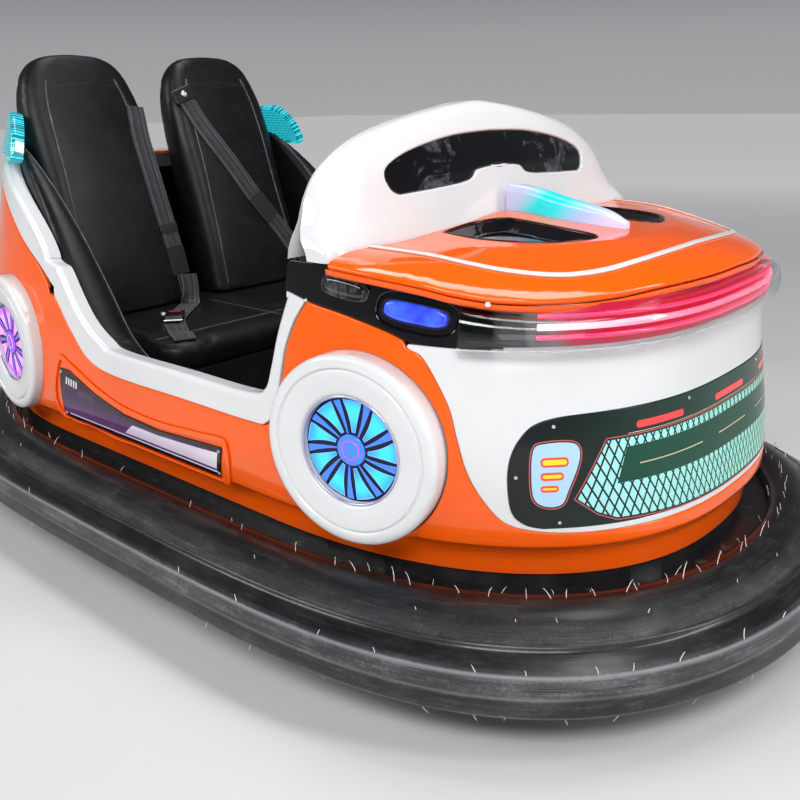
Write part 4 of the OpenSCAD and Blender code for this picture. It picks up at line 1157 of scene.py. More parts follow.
def make_whiskers():
    rng = random.Random(7)
    hairs = {"light": [], "dark": []}
    spots = [(row, 2 * math.pi * (i + rng.uniform(-0.42, 0.42)) / max(1, int(settings().whiskers * row[4])))
        for row in WHISKER_ROWS for i in range(int(settings().whiskers * row[4]))]
    for (d, z, key, size, _), a in spots:
        p = ring_plan(a, d)
        out = unit(p - ring_plan(a, d + 5))
        along = unit(ring_plan(a + 0.002, d) - p)
        size *= rng.uniform(0.6, 1.15)
        lean, swing, tilt = rng.uniform(-0.5, 0.5), rng.uniform(-0.35, 0.35), rng.uniform(-0.1, 0.35)
        path = []
        for t in (0, 0.35, 0.7, 1.0):
            xy = p + along * ((lean * t + swing * t * t) * size) - out * (tilt * t * size)
            path.append([xy[0], xy[1], z - 0.3 * np.sign(size) + size * t * (1 - 0.15 * t)])
        hairs[key].append(tube_data(path, 0.62 if key == "light" else 0.5, 4, [1, 0.95, 0.85, 0.4]))
    looks = {"light": plastic("Pale whisker", (0.80, 0.80, 0.78)), "dark": plastic("Dark whisker",
        (0.01, 0.01, 0.01))}
    for key, parts in hairs.items():
        if parts:
            add_piece("bumper_whiskers_" + key, merged(parts), looks[key], "bumper_rubber")


class BUMPERCAR_OT_ring(bpy.types.Operator):
    """Make the rubber ring with its lips, ribs, scuffs and moulding whiskers"""
    bl_idname = "bumper_car.ring"
    bl_label = "Rubber ring"

    def execute(self, context):
        make_ring()
        make_whiskers()
        return {"FINISHED"}


# ---------------------------------------------------------------- wheel covers

COVER_PROFILE = [(137, -37.8), (137, 2), (136.2, 6.2), (133.6, 9.4), (129, 11.2), (124, 11.9), (120.4, 11.9),
    (119, 11.2), (118.4, 9.6), (117, 9.0), (115.6, 9.6), (115, 11.0), (113.6, 11.7), (108, 11.6), (96, 10.4),
    (86, 9.0), (82, 7.6), (79.6, 5.0), (78.4, 1.5), (77.6, -3), (76.8, -8)]
DISC_PROFILE = [(76.4, -8.6), (76.4, -4.2), (74.6, -2.4), (60, -1.8), (24, -1.3), (22, -0.8), (0.01, -0.8)]
HUB_PROFILE = [(22.5, -1.2), (22.5, 0.4), (21, 1.4), (14.5, 1.8), (14, 1.0), (13, 1.0), (12.5, 2.0),
    (0.01, 2.6)]
WINDOWS = 9


def blade_material(name, inner, middle, outer, strength):
    """Lit window: deeper at the hub and at the rim, with a bright middle"""
    m, n, s = material(name)
    if n:
        v = n.split(n.surface())[1]
        v = n.add(v, n.remap(n.noise(n.coords(), 9.0, 1.0), 0.3, 0.7, -0.12, 0.12))
        n.glow(s, n.ramp(v, [(0.0, inner), (0.45, middle), (0.7, middle), (1.0, outer)]), strength)
        finish(n, s, "Gloss Coat", gloss(rgba(outer, 0.5), 0.05, 0.2, 0.15), 0.03, Coat_Weight=0.5)
    return m


def blade_at(t, w, shape):
    """Point of a curved blade on a disc, t from its hub end to its rim end and w from -1 to 1 across.
    The shape holds its turn, its radii, its half widths at both ends in degrees and its sweep"""
    turn, r0, r1, half0, half1, sweep = shape
    r = r0 + (r1 - r0) * t
    a = math.radians(turn + sweep * t ** 0.85 + w * (half0 + (half1 - half0) * t))
    return r * math.cos(a), r * math.sin(a)


def swept_blade(local, shape, h, cols, rows=10):
    share = [i / (rows - 1) for i in range(rows)]
    pts = [[local(*blade_at(t, w, shape), h) for w in np.linspace(-1, 1, cols)] for t in share]
    verts, faces, norms, _ = grid_data(pts)
    return verts, faces, norms, [[(0, share[i // cols]) for i in f] for f in faces]


def blade_outline(local, shape, h, radius):
    path = [local(*blade_at(t, w, shape), h) for w, a, b in ((-1, 0, 1), (1, 1, 0))
        for t in np.linspace(a, b, 12)]
    return tube_data(path, radius, 5, closed=True)


def make_covers():
    edge_mat = bright_metal("Lavender edge", (0.62, 0.60, 0.78), 0.0)
    looks = {"front": (blade_material("Front window", (0.02, 0.22, 1.0), (0.03, 0.72, 1.0),
        settings().front_light, 1.0), lit("Front spoke", (0.03, 0.16, 0.85), 0.75),
        lit("Front line", (0.18, 0.42, 1.0), 0.8), lit("Front hub ring", (0.55, 0.05, 0.35), 0.7)),
        "rear": (blade_material("Rear window", (0.55, 0.05, 1.0), (1.0, 0.42, 1.0), settings().rear_light,
        1.0), lit("Rear spoke", (0.22, 0.05, 0.85), 0.75), lit("Rear line", (0.55, 0.35, 1.0), 0.8),
        lit("Rear hub ring", (0.9, 0.3, 0.9), 0.7))}
    navy = plastic("Lamp disc", (0.001, 0.002, 0.018), -0.2)
    for key, x in COVER_X.items():
        window_mat, spoke_mat, line_mat, collar_mat = looks[key]
        for sign, side in BOTH:
            local = cover_frame(x, sign)
            out = unit(local(0, 0, 1) - local(0, 0, 0))
            tag = key + "_" + side
            add_piece("wheel_ring_%s_moulding" % tag, lathe_out(COVER_PROFILE, local, 128), white(),
                "white_gelcoat", "wheel_ring_" + tag)
            windows, spokes, lines = [], [], []
            for k in range(WINDOWS):
                turn = 360 / WINDOWS * k
                shape = (turn, 27, 72.5, 5.0, 12.0, 7)
                windows.append(facing(swept_blade(local, shape, -0.9, 8), out))
                lines.append(blade_outline(local, shape, -0.9, 0.5))
                shape = (turn + 180 / WINDOWS, 24, 72.5, 2.6, 4.6, 7)
                spokes.append(facing(swept_blade(local, shape, -0.6, 4), out))
            edge = tube_data(circle(local, 77.9, 4.5, 96), 2.0, 8, closed=True)
            collar = tube_data(circle(local, 13.5, 1.6, 48), 0.9, 6, closed=True)
            for name, data, look, node in (("edge", edge, edge_mat, None),
                    ("disc", lathe_out(DISC_PROFILE, local), navy, "wheel_lamp_" + tag),
                    ("windows", merged(windows), window_mat, None), ("spokes", merged(spokes), spoke_mat,
                    None), ("lines", merged(lines), line_mat, None), ("hub",
                    lathe_out(HUB_PROFILE, local, 48), spoke_mat, None), ("collar", collar, collar_mat,
                    None)):
                add_piece("wheel_lamp_%s_%s" % (tag, name), data, look, "wheel_lens", node)


class BUMPERCAR_OT_covers(bpy.types.Operator):
    """Make the white wheel rings with their lit discs"""
    bl_idname = "bumper_car.covers"
    bl_label = "Wheel covers"

    def execute(self, context):
        make_covers()
        return {"FINISHED"}


# ---------------------------------------------------------------- hood details, arch and lights

STRIPE = np.array([[427, 341], [470, 336], [520, 328], [570, 317], [615, 301], [655, 279], [690, 249],
    [716, 206], [734, 150], [743, 80], [746, 0]])


def along_hood(xy, out):
    """Points lifted off the hood along its normals, and those normals"""
    n = surface_normals(hood_surface, xy[:, 0], xy[:, 1])
    return hood_surface(xy[:, 0], xy[:, 1]) + n * out, n


def distance_in(points, poly):
    """Distance of points from a closed outline"""
    best = np.full(len(points), 1e9)
    for p, d in zip(poly, np.roll(poly, -1, axis=0) - poly):
        t = np.clip(((points - p) @ d) / max(float(d @ d), 1e-9), 0, 1)
        best = np.minimum(best, np.linalg.norm(points - (p + t[:, None] * d), axis=1))
    return best


def make_hood_details():
    path = spline(np.vstack([STRIPE, (STRIPE * [1, -1])[-2::-1]]), 10)
    add_piece("hood_stripe", ribbon_data(*along_hood(path, -0.5), 9.5, 3.2), white(), "white_gelcoat")
    for sign, side in BOTH:
        outline = ccw(VENT * [1, -sign])

        def sunk(x, y, outline=outline):
            x, y = np.broadcast_arrays(np.asarray(x, float), np.asarray(y, float))
            d = distance_in(np.stack([x.ravel(), y.ravel()], 1), outline).reshape(x.shape)
            return np.stack([x, y, hood_height(x, y) - 1.5 - np.minimum(d * 0.32, 11)], -1)

        scoop = panel_data(sunk, [(shrink(outline, 0.6), 0.4)], depth=1.2, step=5, fine=4)
        add_piece("hood_vent_%s_scoop" % side, scoop, black_gloss(), "gloss_black", "hood_vent_" + side)
        lip = tube_data(along_hood(outline, 0.0)[0], 1.6, 6, closed=True)
        add_piece("hood_vent_%s_lip" % side, lip, black_gloss(), "gloss_black")


# Arch sections. Columns: share of the height, half width, how far the front lies inside the hood's
# edge, and the exponent of its rounding
ARCH = np.array([[0, 413, 0.5, 14], [0.06, 411, 1, 12], [0.13, 405, 5, 8], [0.23, 392, 11, 5],
    [0.39, 379, 20, 4], [0.54, 358, 27, 3.6], [0.68, 317, 37, 3.4], [0.79, 264, 45, 3.2], [0.87, 199, 52, 3],
    [0.95, 104, 61, 3], [0.985, 50, 69, 3], [1.0, 14, 76, 3]])
ARCH_LOW, ARCH_TOP, ARCH_PEAK, ARCH_RUN = SHOULDER + GAP, 799.0, 800.0, 600.0
# Half of the screen's outline, its widths as shares of the half width
SCREEN = np.array([[0, 753], [0.38, 749], [0.74, 734], [0.95, 716], [1, 700], [0.97, 680], [0.91, 672],
    [0.57, 675], [0.31, 680], [0.22, 694], [0, 699]])
SCREEN_HALF, SCREEN_CORNER = 270.0, 6


def arch_row(z):
    k = (np.asarray(z, float) - ARCH_LOW) / (ARCH_PEAK - ARCH_LOW)
    return [smooth_table(ARCH[:, 0], ARCH[:, i], k) for i in (1, 2, 3)]


def arch_surface(u, z):
    u, z = np.broadcast_arrays(np.asarray(u, float), np.asarray(z, float))
    half, inset, e = arch_row(z)
    a = np.clip(u / ARCH_RUN, -1, 1) * math.pi / 2
    depth = HOOD_X - GAP - inset - ARCH_X
    return np.stack([ARCH_X + depth * np.abs(np.cos(a)) ** (2 / e), half * spow(np.sin(a), 2 / e), z], -1)


def arch_u(y, z):
    half, _, e = arch_row(z)
    return np.arcsin(np.clip(spow(np.clip(y / half, -1, 1), e / 2), -1, 1)) / (math.pi / 2) * ARCH_RUN


def make_arch():
    side = np.vstack([spline(SCREEN[:SCREEN_CORNER + 1], 6), spline(SCREEN[SCREEN_CORNER:], 6)[1:]])
    loop = np.vstack([side, (side * [-1, 1])[-2:0:-1]]) * [SCREEN_HALF, 1]
    hole = ccw(np.stack([arch_u(loop[:, 0], loop[:, 1]), loop[:, 1]], 1))
    end = ARCH_RUN - 1
    outline = ccw(np.array([[-end, ARCH_LOW], [end, ARCH_LOW], [end, ARCH_TOP], [-end, ARCH_TOP]]))
    data = panel_data(arch_surface, [(outline, 0.3)], [[(hole, 3.2)]], depth=5, step=8, fine=6)
    z = np.linspace(ARCH_LOW, ARCH_TOP, 60)
    back = [[[ARCH_X + 0.2, y * s, h] for y in np.linspace(-1, 1, 12)] for s, h in zip(arch_row(z)[0], z)]
    add_piece("windshield_arch_moulding", merged([data, facing(grid_data(back), (-1, 0, 0))]), white(),
        "white_gelcoat", "windshield_arch")
    glass = panel_data(arch_surface, [(shrink(hole, 0.8), 1.2)], depth=1.5, step=9, out=-3.4)
    add_piece("windscreen_panel", glass, wet_black(), "gloss_black", "windscreen")


# Blade sections: length from its start, half width and height; its colour runs between two places
BLADE = np.array([[0, 20, 43], [95, 18.5, 33], [175, 14.5, 22], [208, 6.5, 10]])
BLADE_AT = (425.0, 640.0)


def make_blade():
    rows = []
    a = np.radians(np.linspace(-20, 200, 26))
    for t in np.linspace(0, BLADE[-1, 0], 60):
        w, h = (float(smooth_table(BLADE[:, 0], BLADE[:, i], t)) for i in (1, 2))
        x = HOOD_X + 4.3 + t
        z = float(hood_height(x, 0))
        rows.append(np.stack([np.full(26, x), -w * spow(np.cos(a), 0.62),
            z + h * 0.28 + h * 0.72 * spow(np.sin(a), 0.62)], 1))
    m, n, s = material("Blade lens")
    if n:
        x, _, z = n.split(n.coords())
        at = n.add(n.remap(x, BLADE_AT[0] * MM, BLADE_AT[1] * MM), n.remap(z, 0.60, 0.66, 0.22, -0.06))
        c = n.ramp(at, [(0.0, (0.42, 0.42, 0.62)), (0.14, (0.36, 0.44, 0.62)), (0.32, (0.0, 0.58, 0.62)),
            (0.52, (0.02, 0.60, 0.66)), (0.74, (0.30, 0.46, 0.72)), (1.0, (0.50, 0.52, 0.72))])
        n.glow(s, c, 0.55)
        finish(n, s, "Gloss Coat", gloss(c, 0.03, 0.3, 0.25), 0.04, Coat_Weight=0.3)
    add_piece("light_blade_lens", solid_data(rows), m, "blade_lens", "light_blade")


BAR_ANGLE, BAR_D = 56.0, 27.0


def bar_core():
    """Middle strip: white where its feed comes in at each end, pink towards the nose"""
    m, n, s = material("Pink core")
    if n:
        y = n.math("ABSOLUTE", n.split(n.coords())[1])
        n.glow(s, n.ramp(n.remap(y, 0.12, 0.31), [(0.0, (1.0, 0.05, 0.16)), (0.55, (1.0, 0.22, 0.36)),
            (0.85, (1.0, 0.62, 0.72)), (1.0, (1.0, 0.95, 1.0))]), 1.1)
        finish(n, s, "Gloss Coat", gloss((0.8, 0.3, 0.35), 0.0, 0.2, 0.2))
    return m


def bar_reflector():
    """Backing of the strips: crimson, then grey and black at the ends; its crimson middle glows, a painted
    glow of the strips' light
    """
    m, n, s = material("Red reflector")
    if n:
        at = n.remap(n.math("ABSOLUTE", n.split(n.coords())[1]), 0.25, 0.36)
        stops = [(0.0, (0.30, 0.004, 0.025)), (0.35, (0.26, 0.02, 0.05)), (0.5, (0.22, 0.20, 0.21)),
            (0.68, (0.10, 0.10, 0.10)), (0.72, (0.004, 0.004, 0.004))]
        # Painted glow: the backing gives off the light that the strips would throw on it
        n.glow(s, n.ramp(at, [(a, c if a < 0.4 else (0, 0, 0)) for a, c in stops]), 0.9)
        finish(n, s, "Gloss Coat", gloss(n.ramp(at, stops), 0.05, 0.3, 0.2))
    return m


def bar_point(a, z, d):
    """Point in front of the nose at an angle and a height, d outside the body"""
    side, nose, _, e = body_row(z)
    t = math.radians(a)
    return np.array([BEND_FRONT + (nose + d - BEND_FRONT) * abs(math.cos(t)) ** (2 / e),
        float((side + d) * spow(math.sin(t), 2 / e)), z])


def bar_top(a):
    p = bar_point(a, 570.0, 0)
    at = math.degrees(math.atan2(p[1] / HOOD_W, (p[0] - HOOD_X) / HOOD_L))
    return float(lip_height(abs(at))) - 0.28 * HOOD_RISE - 2.3


def bar_rows(angles, inset):
    """Sections of the bar's bowed front, inset from its outside"""
    rows = []
    for a in angles:
        t, b = bar_top(a) - inset, BAR_Z + inset
        m, h = (t + b) / 2, (t - b) / 2
        rows.append([bar_point(a, m + h * float(spow(math.sin(q), 0.75)),
            0.8 + inset * 0.6 + (BAR_D - 1.2 - inset * 1.6) * float(spow(math.cos(q), 0.7)))
            for q in np.radians(np.linspace(-90, 90, 13))])
    return np.array(rows)


def make_light_bar():
    angles = np.linspace(-BAR_ANGLE, BAR_ANGLE, 150)
    glass, n, s = material("Clear bar")
    if n:
        values = {"Color": (0.96, 0.97, 0.98), "Dust": 0.05, "Roughness": 0.03}
        g = n.node("ShaderNodeGroup", values, node_tree=bpy.data.node_groups["Gloss Coat"])
        n.link(g.outputs["Color"], s, "Base Color")
        n.link(g.outputs["Roughness"], s, "Roughness")
        s.inputs["Transmission Weight"].default_value = 1.0
        s.inputs["IOR"].default_value = 1.3
    shell = np.concatenate([bar_rows(angles, 0.0), bar_rows(angles, 2.4)[:, ::-1]], axis=1)
    add_piece("light_bar_shell", facing_out(grid_data(shell, wrap_u=True)), glass, "clear_lens", "light_bar")
    lamp_angles = np.linspace(-BAR_ANGLE + 13, BAR_ANGLE - 13, 120)
    strips = [tube_data([bar_point(a, z, 9.0) for a in lamp_angles], 3.0, 8) for z in (544.0, 518.0)]
    add_piece("light_bar_red_strips", merged(strips), lit("Red strip", settings().bar_light, 1.15), "red_led",
        "light_bar_leds")
    core = tube_data([bar_point(a, 531.0, 10.0) for a in lamp_angles], 4.2, 8)
    add_piece("light_bar_core", core, bar_core(), "red_led")
    back = grid_data([[bar_point(a, z, 1.2) for z in (504.0, 515, 531, 547, 556)] for a in angles])
    add_piece("light_bar_reflector", facing(back, (1, 0, 0)), bar_reflector(), "red_led")
    ends, screws = [], []
    for sign in (-1, 1):
        ends.append(solid_data(bar_rows(np.linspace(BAR_ANGLE - 5.5, BAR_ANGLE - 0.3, 8) * sign, 2.9)))
        for a, z in ((BAR_ANGLE - 1.2, 508.0), (BAR_ANGLE - 4.5, 560.0)):
            p, q = bar_point(a * sign, z, 15.0), bar_point(a * sign, z, 17.0)
            screws.append(screw_data(p, unit(q - p), 3.6))
    add_piece("light_bar_ends", merged(ends), black_gloss(), "gloss_black")
    add_piece("light_bar_screws", merged(screws), plastic("White screw cap", (0.7, 0.7, 0.72)), "clear_lens")


def screw_data(at, normal, radius, height=1.6):
    """Pan head screw with a dip in its middle"""
    n = unit(normal)
    ref = np.array([0, 0, 1.0]) if abs(n[2]) < 0.9 else np.array([1.0, 0, 0])
    s = unit(np.cross(ref, n))
    u = np.cross(n, s)
    prof = [(radius, -0.6), (radius, height * 0.4), (radius * 0.85, height * 0.8), (radius * 0.5, height),
        (radius * 0.28, height), (radius * 0.2, height * 0.55), (0.01, height * 0.5)]
    return lathe_out(prof, lambda px, py, h: np.asarray(at) + s * px + u * py + n * h, 16)


class BUMPERCAR_OT_front(bpy.types.Operator):
    """Make the hood's stripe and scoops, the arch, its dark screen, the blade and the light bar"""
    bl_idname = "bumper_car.front"
    bl_label = "Hood details and arch"

    def execute(self, context):
        make_hood_details()
        make_arch()
        make_blade()
        make_light_bar()
        return {"FINISHED"}


# ---------------------------------------------------------------- printed panels

PRINT_STEPS = ROUND[[0, 2, 4]]
PRINT_OUT = 0.95


def print_data(loops, out, step=16):
    """Thin flat prints on the body"""
    return merged([panel_data(body_point, [(ccw(np.asarray(loop, float)), 0.12)], depth=0.3, step=step,
        fine=5, out=out, steps=PRINT_STEPS) for loop in loops])


def pill(cx, cy, w, h, n=8):
    a = np.radians(np.linspace(-90, 90, n))
    r = h / 2
    right = np.stack([cx + w / 2 - r + r * np.cos(a), cy + r * np.sin(a)], 1)
    left = np.stack([cx - w / 2 + r - r * np.cos(a), cy - r * np.sin(a)], 1)
    return np.vstack([right, left])


def line_data(path, width, thick, out):
    """Thin raised line along a path on the body"""
    n = body_normal(*path.T)
    return ribbon_data(body_point(*path.T) + n * out, n, width, thick)


def printed(name, make_color, rough, bump=0.04, distance=0.002, dust=0.0, scratch=0.6, **sockets):
    """Material whose colour is worked out by a function of its shader net"""
    m, n, s = material(name)
    if n:
        finish(n, s, "Gloss Coat", gloss(make_color(n), dust, scratch, rough), bump, distance, **sockets)
    return m


def mesh_print():
    """Pale cells between crossing dark lines"""
    def colour(n):
        u, v, _ = n.split(n.surface())
        a, b = n.math("DIVIDE", u, 0.0175), n.math("DIVIDE", v, 0.0285)
        lines = [n.math("GREATER_THAN", n.math("ABSOLUTE", n.add(n.math("FRACT", n.math(op, a, b)), -0.5)),
            0.40) for op in ("ADD", "SUBTRACT")]
        shade = n.mix(n.remap(u, -0.34, 0.1), (0.36, 0.78, 0.78), (0.30, 0.78, 0.62))
        return n.mix(n.math("MAXIMUM", *lines), shade, (0.004, 0.02, 0.016))
    return printed("Mesh print", colour, 0.12, 0.03, 0.001, 0.08, 0.4, Coat_Weight=0.2,
        Specular_IOR_Level=0.25)


def grille_ground():
    def colour(n):
        u = n.math("ABSOLUTE", n.split(n.surface())[0])
        return n.ramp(n.remap(u, 0.05, 0.46), [(0.0, (0.0, 0.040, 0.024)), (0.55, (0.001, 0.020, 0.015)),
            (1.0, (0.001, 0.003, 0.004))])
    return printed("Grille ground", colour, 0.06, Coat_Weight=0.2, Specular_IOR_Level=0.3)


def make_grille():
    def add(name, data, look, node=None):
        add_piece("grille_" + name, data, look, "grille_print", node)

    def flat(name, colour):
        return plastic(name, colour, -0.2)

    top = PRINT_OUT
    add("panel_ground", panel_data(body_point, [(grille_outline(), 0.8)], depth=3, step=12, out=0.7),
        grille_ground(), "grille_panel")
    outer = ccw(np.array([[-391, 303], [-360, 281], [-330, 270], [-200, 266], [0, 265], [200, 266],
        [330, 270], [360, 281], [391, 303], [334, 377], [-334, 377]]))
    band = ccw(np.array([[-324, 318], [324, 318], [299, 365], [-299, 365]]))
    add("print_net", panel_data(body_point, [(outer, 0.12)], [[(band, 0.1)]], depth=0.3, step=16, out=top,
        steps=PRINT_STEPS), mesh_print())
    add("print_band", print_data([shrink(band, -0.3)], top), flat("Green print", (0.001, 0.060, 0.034)))
    lamp = spline([[-455, 330], [-452, 304], [-436, 294], [-414, 297], [-402, 318], [-384, 352], [-382, 372],
        [-396, 380], [-432, 380], [-450, 372]], 5, closed=True)
    lamps = [ccw(lamp), ccw(lamp * [-1, 1])]
    lines = [line_data(densify(closed_path(shrink(outer, -3.2)), 8, closed=False), 1.5, 0.35, top)]
    lines += [line_data(densify(closed_path(shrink(q, -2.6)), 6, closed=False), 1.6, 0.35, top)
        for q in lamps]
    add("print_outlines", merged(lines), flat("Rose line", (0.55, 0.10, 0.11)))
    add("print_lamps", print_data(lamps, top, 8), flat("Pale lamp print", (0.42, 0.66, 0.85)))
    red, yellow = [], []
    for cx, cz, w, h in ((-420, 355, 42, 13), (-425, 336, 34, 11), (-430, 319, 26, 9)):
        for s in (1, -1):
            red.append((pill(0, 0, w, h) + [cx, cz]) * [s, 1])
            yellow.append((pill(0, 0, w - 6, h - 6) + [cx, cz]) * [s, 1])
    bars = [pill(c, 392, w, 9.5) for c, w in ((-223, 112), (0, 124), (223, 112))]
    # The red prints are no lamps; their faint glow is painted light
    add("print_red", print_data(red + bars, top + 0.3, 8), lit("Red print", (0.9, 0.03, 0.03), 0.25,
        (0.75, 0.03, 0.03), 0.15, 0.1))
    add("print_yellow", print_data(yellow, top + 0.5, 6), flat("Yellow print", (0.85, 0.72, 0.03)))
    cream = [line_data(np.stack([np.linspace(a, b, count), np.full(count, z)], 1), width, 0.3, top + up)
        for a, b, count, z, width, up in ((-278, -120, 20, 340.0, 1.6, 0.25), (-60, 60, 20, 340.0, 1.6, 0.25),
        (120, 278, 20, 340.0, 1.6, 0.25), (-296, 296, 60, 382.5, 0.9, 0))]
    add("print_cream", merged(cream), flat("Cream line", (0.62, 0.55, 0.34)))
    screws = [on_body(s * u, z, 0.9, 2.6, 1.0) for u, z in ((-476, 335), (-420, 402), (-420, 270),
        (-150, 408), (-150, 267)) for s in (1, -1)]
    add("screws", merged(screws), bright_metal())


def on_body(u, z, out, radius, height):
    """Screw on the body, its foot lifted off by out"""
    n = body_normal(u, z)
    return screw_data(body_point(u, z) + n * out, n, radius, height)


PLATE = np.array([[-292, 236], [186, 236], [204, 292], [140, 288], [30, 281], [-75, 286], [-167, 306],
    [-250, 334], [-280, 334]], float)


def plate_ground():
    def colour(n):
        glow = n.noise(n.stretch(n.surface(), (6, 14, 1)), 1.4, 2.0)
        base = n.ramp(n.remap(n.split(n.surface())[1], 0.236, 0.33), [(0.0, (0.17, 0.05, 0.21)),
            (0.4, (0.055, 0.010, 0.075)), (1.0, (0.008, 0.002, 0.014))])
        return n.mix(n.remap(glow, 0.52, 0.75, 0.0, 0.5), base, (0.30, 0.16, 0.40))
    return printed("Plate print", colour, 0.1, dust=0.02, Coat_Weight=0.2, Specular_IOR_Level=0.3)


def lilac_print():
    def colour(n):
        return n.ramp(n.remap(n.split(n.surface())[0], -0.93, -0.76), [(0.0, (0.75, 0.66, 0.80)),
            (0.5, (0.80, 0.78, 0.84)), (1.0, (0.42, 0.25, 0.55))])
    return printed("Lilac print", colour, 0.14, distance=0.001, dust=0.1, scratch=0.5, Coat_Weight=0.6)


def make_side_plates():
    plate = densify(PLATE, 12)
    edge = side_panel(plate, 0.9, depth=2.4, step=14, out=2.6)
    field = print_data([on_side(shrink(ccw(plate), 6.5))], 2.85)
    line = line_data(on_side(densify([[-268, 245.5], [184, 245.5]], 10, closed=False)), 2.2, 0.3, 3.05)
    band = [[-78, 251], [183, 251], [193, 281], [140, 277], [30, 271], [-48, 272]]
    ticks = print_data([on_side(densify([[x, 306 - k], [x + 4.5, 306 - k], [x + 7.5, 320 - k],
        [x + 3, 320 - k]], 6)) for k, x in ((0, -262), (0.8, -253.5), (1.6, -245), (2.4, -236.5),
        (3.2, -228))], 3.1)
    rail = [[-300, 229], [-60, 227.5], [150, 227.5], [194, 229], [206, 240], [214, 272], [213, 296],
        [204, 304], [140, 299], [30, 292], [-73, 297], [-164, 317], [-246, 345], [-286, 346]]
    rail = line_data(on_side(closed_path(spline(rail, 6, closed=True))), 11.0, 4.6, -1.0)
    screws = [on_body(u, z, 2.9, 3.0, 1.2) for u, z in on_side([[-284, 243], [-276, 327], [196, 284],
        [186, 243]])]
    for side, pick in SIDES:
        for name, data, look, slot, node in (("edge", edge, black_gloss(), "plate_print",
                "side_plate_" + side), ("field", field, plate_ground(), "plate_print", None),
                ("line", merged([line, ticks]), plastic("White print", (0.75, 0.75, 0.78), -0.2),
                "plate_print", None), ("band", print_data([on_side(densify(band, 10))], 3.1), lilac_print(),
                "plate_print", None), ("frame", rail, orange(), "orange_gelcoat", None),
                ("screws", merged(screws), bright_metal(), "plate_print", None)):
            add_piece("side_plate_%s_%s" % (side, name), pick(data), look, slot, node)


class BUMPERCAR_OT_prints(bpy.types.Operator):
    """Make the grille's print and the side plates with their frames and screws"""
    bl_idname = "bumper_car.prints"
    bl_label = "Grille and side plates"

    def execute(self, context):
        make_grille()
        make_side_plates()
        return {"FINISHED"}


# ---------------------------------------------------------------- seats

SEAT_HALF, SEAT_MID, BACK_HALF, SEAT_TOP, BACK_TOP = 320.0, 175.0, 145.0, 370.0, 910.0
# Seat back sections. Columns: share of the height, front, rear and share of the half width
BACK = np.array([[0, 420, 535, 1], [0.2, 445, 560, 1], [0.42, 480, 590, 1], [0.61, 510, 612, 1],
    [0.76, 538, 628, 0.97], [0.89, 565, 638, 0.86], [0.96, 580, 636, 0.68], [1, 592, 628, 0.36]])
BACK_E = 4.5
BOLSTER = spline([[-625, 728], [-560, 735], [-452, 662], [-362, 575], [-280, 472], [-218, 388], [-160, 348],
    [-136, 322]], 8)
BOLSTER_GAP = 33.5


def back_row(k):
    return (smooth_table(BACK[:, 0], BACK[:, i], k) for i in (1, 2, 3))


def back_ring(k, n=72, inset=4.0):
    f, r, w = (float(v) for v in back_row(k))
    a = (np.arange(n) + 0.5) * 2 * math.pi / n
    hx, hy = (r - f) / 2 - inset, BACK_HALF * w - inset
    return np.stack([-(f + r) / 2 + hx * spow(np.cos(a), 2 / BACK_E),
        -SEAT_MID + hy * spow(np.sin(a), 2 / BACK_E), np.full(n, SEAT_TOP + 1 + k
        * (BACK_TOP - SEAT_TOP - 1.5))], 1)


def front_x(y, z):
    """Front of a seat back at a place across and a height, for both seats"""
    f, r, w = back_row((z - SEAT_TOP) / (BACK_TOP - SEAT_TOP))
    t = np.minimum(np.abs(np.abs(y) - SEAT_MID) / (BACK_HALF * w), 0.985)
    return -(f + r) / 2 + (r - f) / 2 * (1 - t ** BACK_E) ** (1 / BACK_E)


def seam_half(k):
    """Half distance between a seat back's two seams at a share of its height"""
    return BACK_HALF * smooth_table(BACK[:, 0], BACK[:, 3], k) - 42 + 6 * np.cos(k * 5)


def read_points(mesh, what="co"):
    p = np.empty(len(mesh.vertices) * 3)
    mesh.vertices.foreach_get(what, p)
    return p.reshape(-1, 3)


def write_points(mesh, p):
    mesh.vertices.foreach_set("co", p.reshape(-1))
    mesh.update()


def evaluated(obj):
    return obj.evaluated_get(bpy.context.evaluated_depsgraph_get())


def stuffed(obj, pins, pressure=4.0, cap=9.0, voxel=0.006, frames=20):
    """Fills a closed form as a sewn cushion: pins is a function from points in millimetres to how firmly
    each is held, from 0 to 1"""
    remesh = obj.modifiers.new("Remesh", "REMESH")
    remesh.mode = "VOXEL"
    remesh.voxel_size = voxel
    remesh.use_smooth_shade = True
    me = bpy.data.meshes.new_from_object(evaluated(obj))
    obj.modifiers.clear()
    old, obj.data = obj.data, me
    bpy.data.meshes.remove(old)
    rest = read_points(me) / MM
    hold = np.clip(pins(rest), 0, 1)
    group = obj.vertex_groups.new(name="held")
    for level in (0.25, 0.5, 0.75, 1.0):
        index = np.where(np.abs(hold - level) <= 0.125)[0]
        if len(index):
            group.add(index.tolist(), level, "REPLACE")
    cloth = obj.modifiers.new("Cloth", "CLOTH")
    cloth.settings.use_pressure = True
    cloth.settings.uniform_pressure_force = pressure
    cloth.settings.effector_weights.gravity = 0
    cloth.settings.vertex_group_mass = "held"
    cloth.settings.quality = 4
    cloth.settings.mass = 0.25
    cloth.settings.bending_stiffness = 0.6
    cloth.collision_settings.use_collision = False
    cloth.point_cache.frame_start, cloth.point_cache.frame_end = 1, frames
    for f in range(1, frames + 1):
        bpy.context.scene.frame_set(f)
    out = evaluated(obj)
    moved = read_points(out.to_mesh()) / MM - rest
    out.to_mesh_clear()
    far = np.linalg.norm(moved, axis=1, keepdims=True)
    moved *= np.minimum(1, cap / np.maximum(far, 1e-6))
    obj.modifiers.clear()
    obj.vertex_groups.clear()
    bpy.context.scene.frame_set(1)
    me.polygons.foreach_set("use_smooth", [True] * len(me.polygons))
    write_points(me, (rest + moved) * MM)
    relax(me)


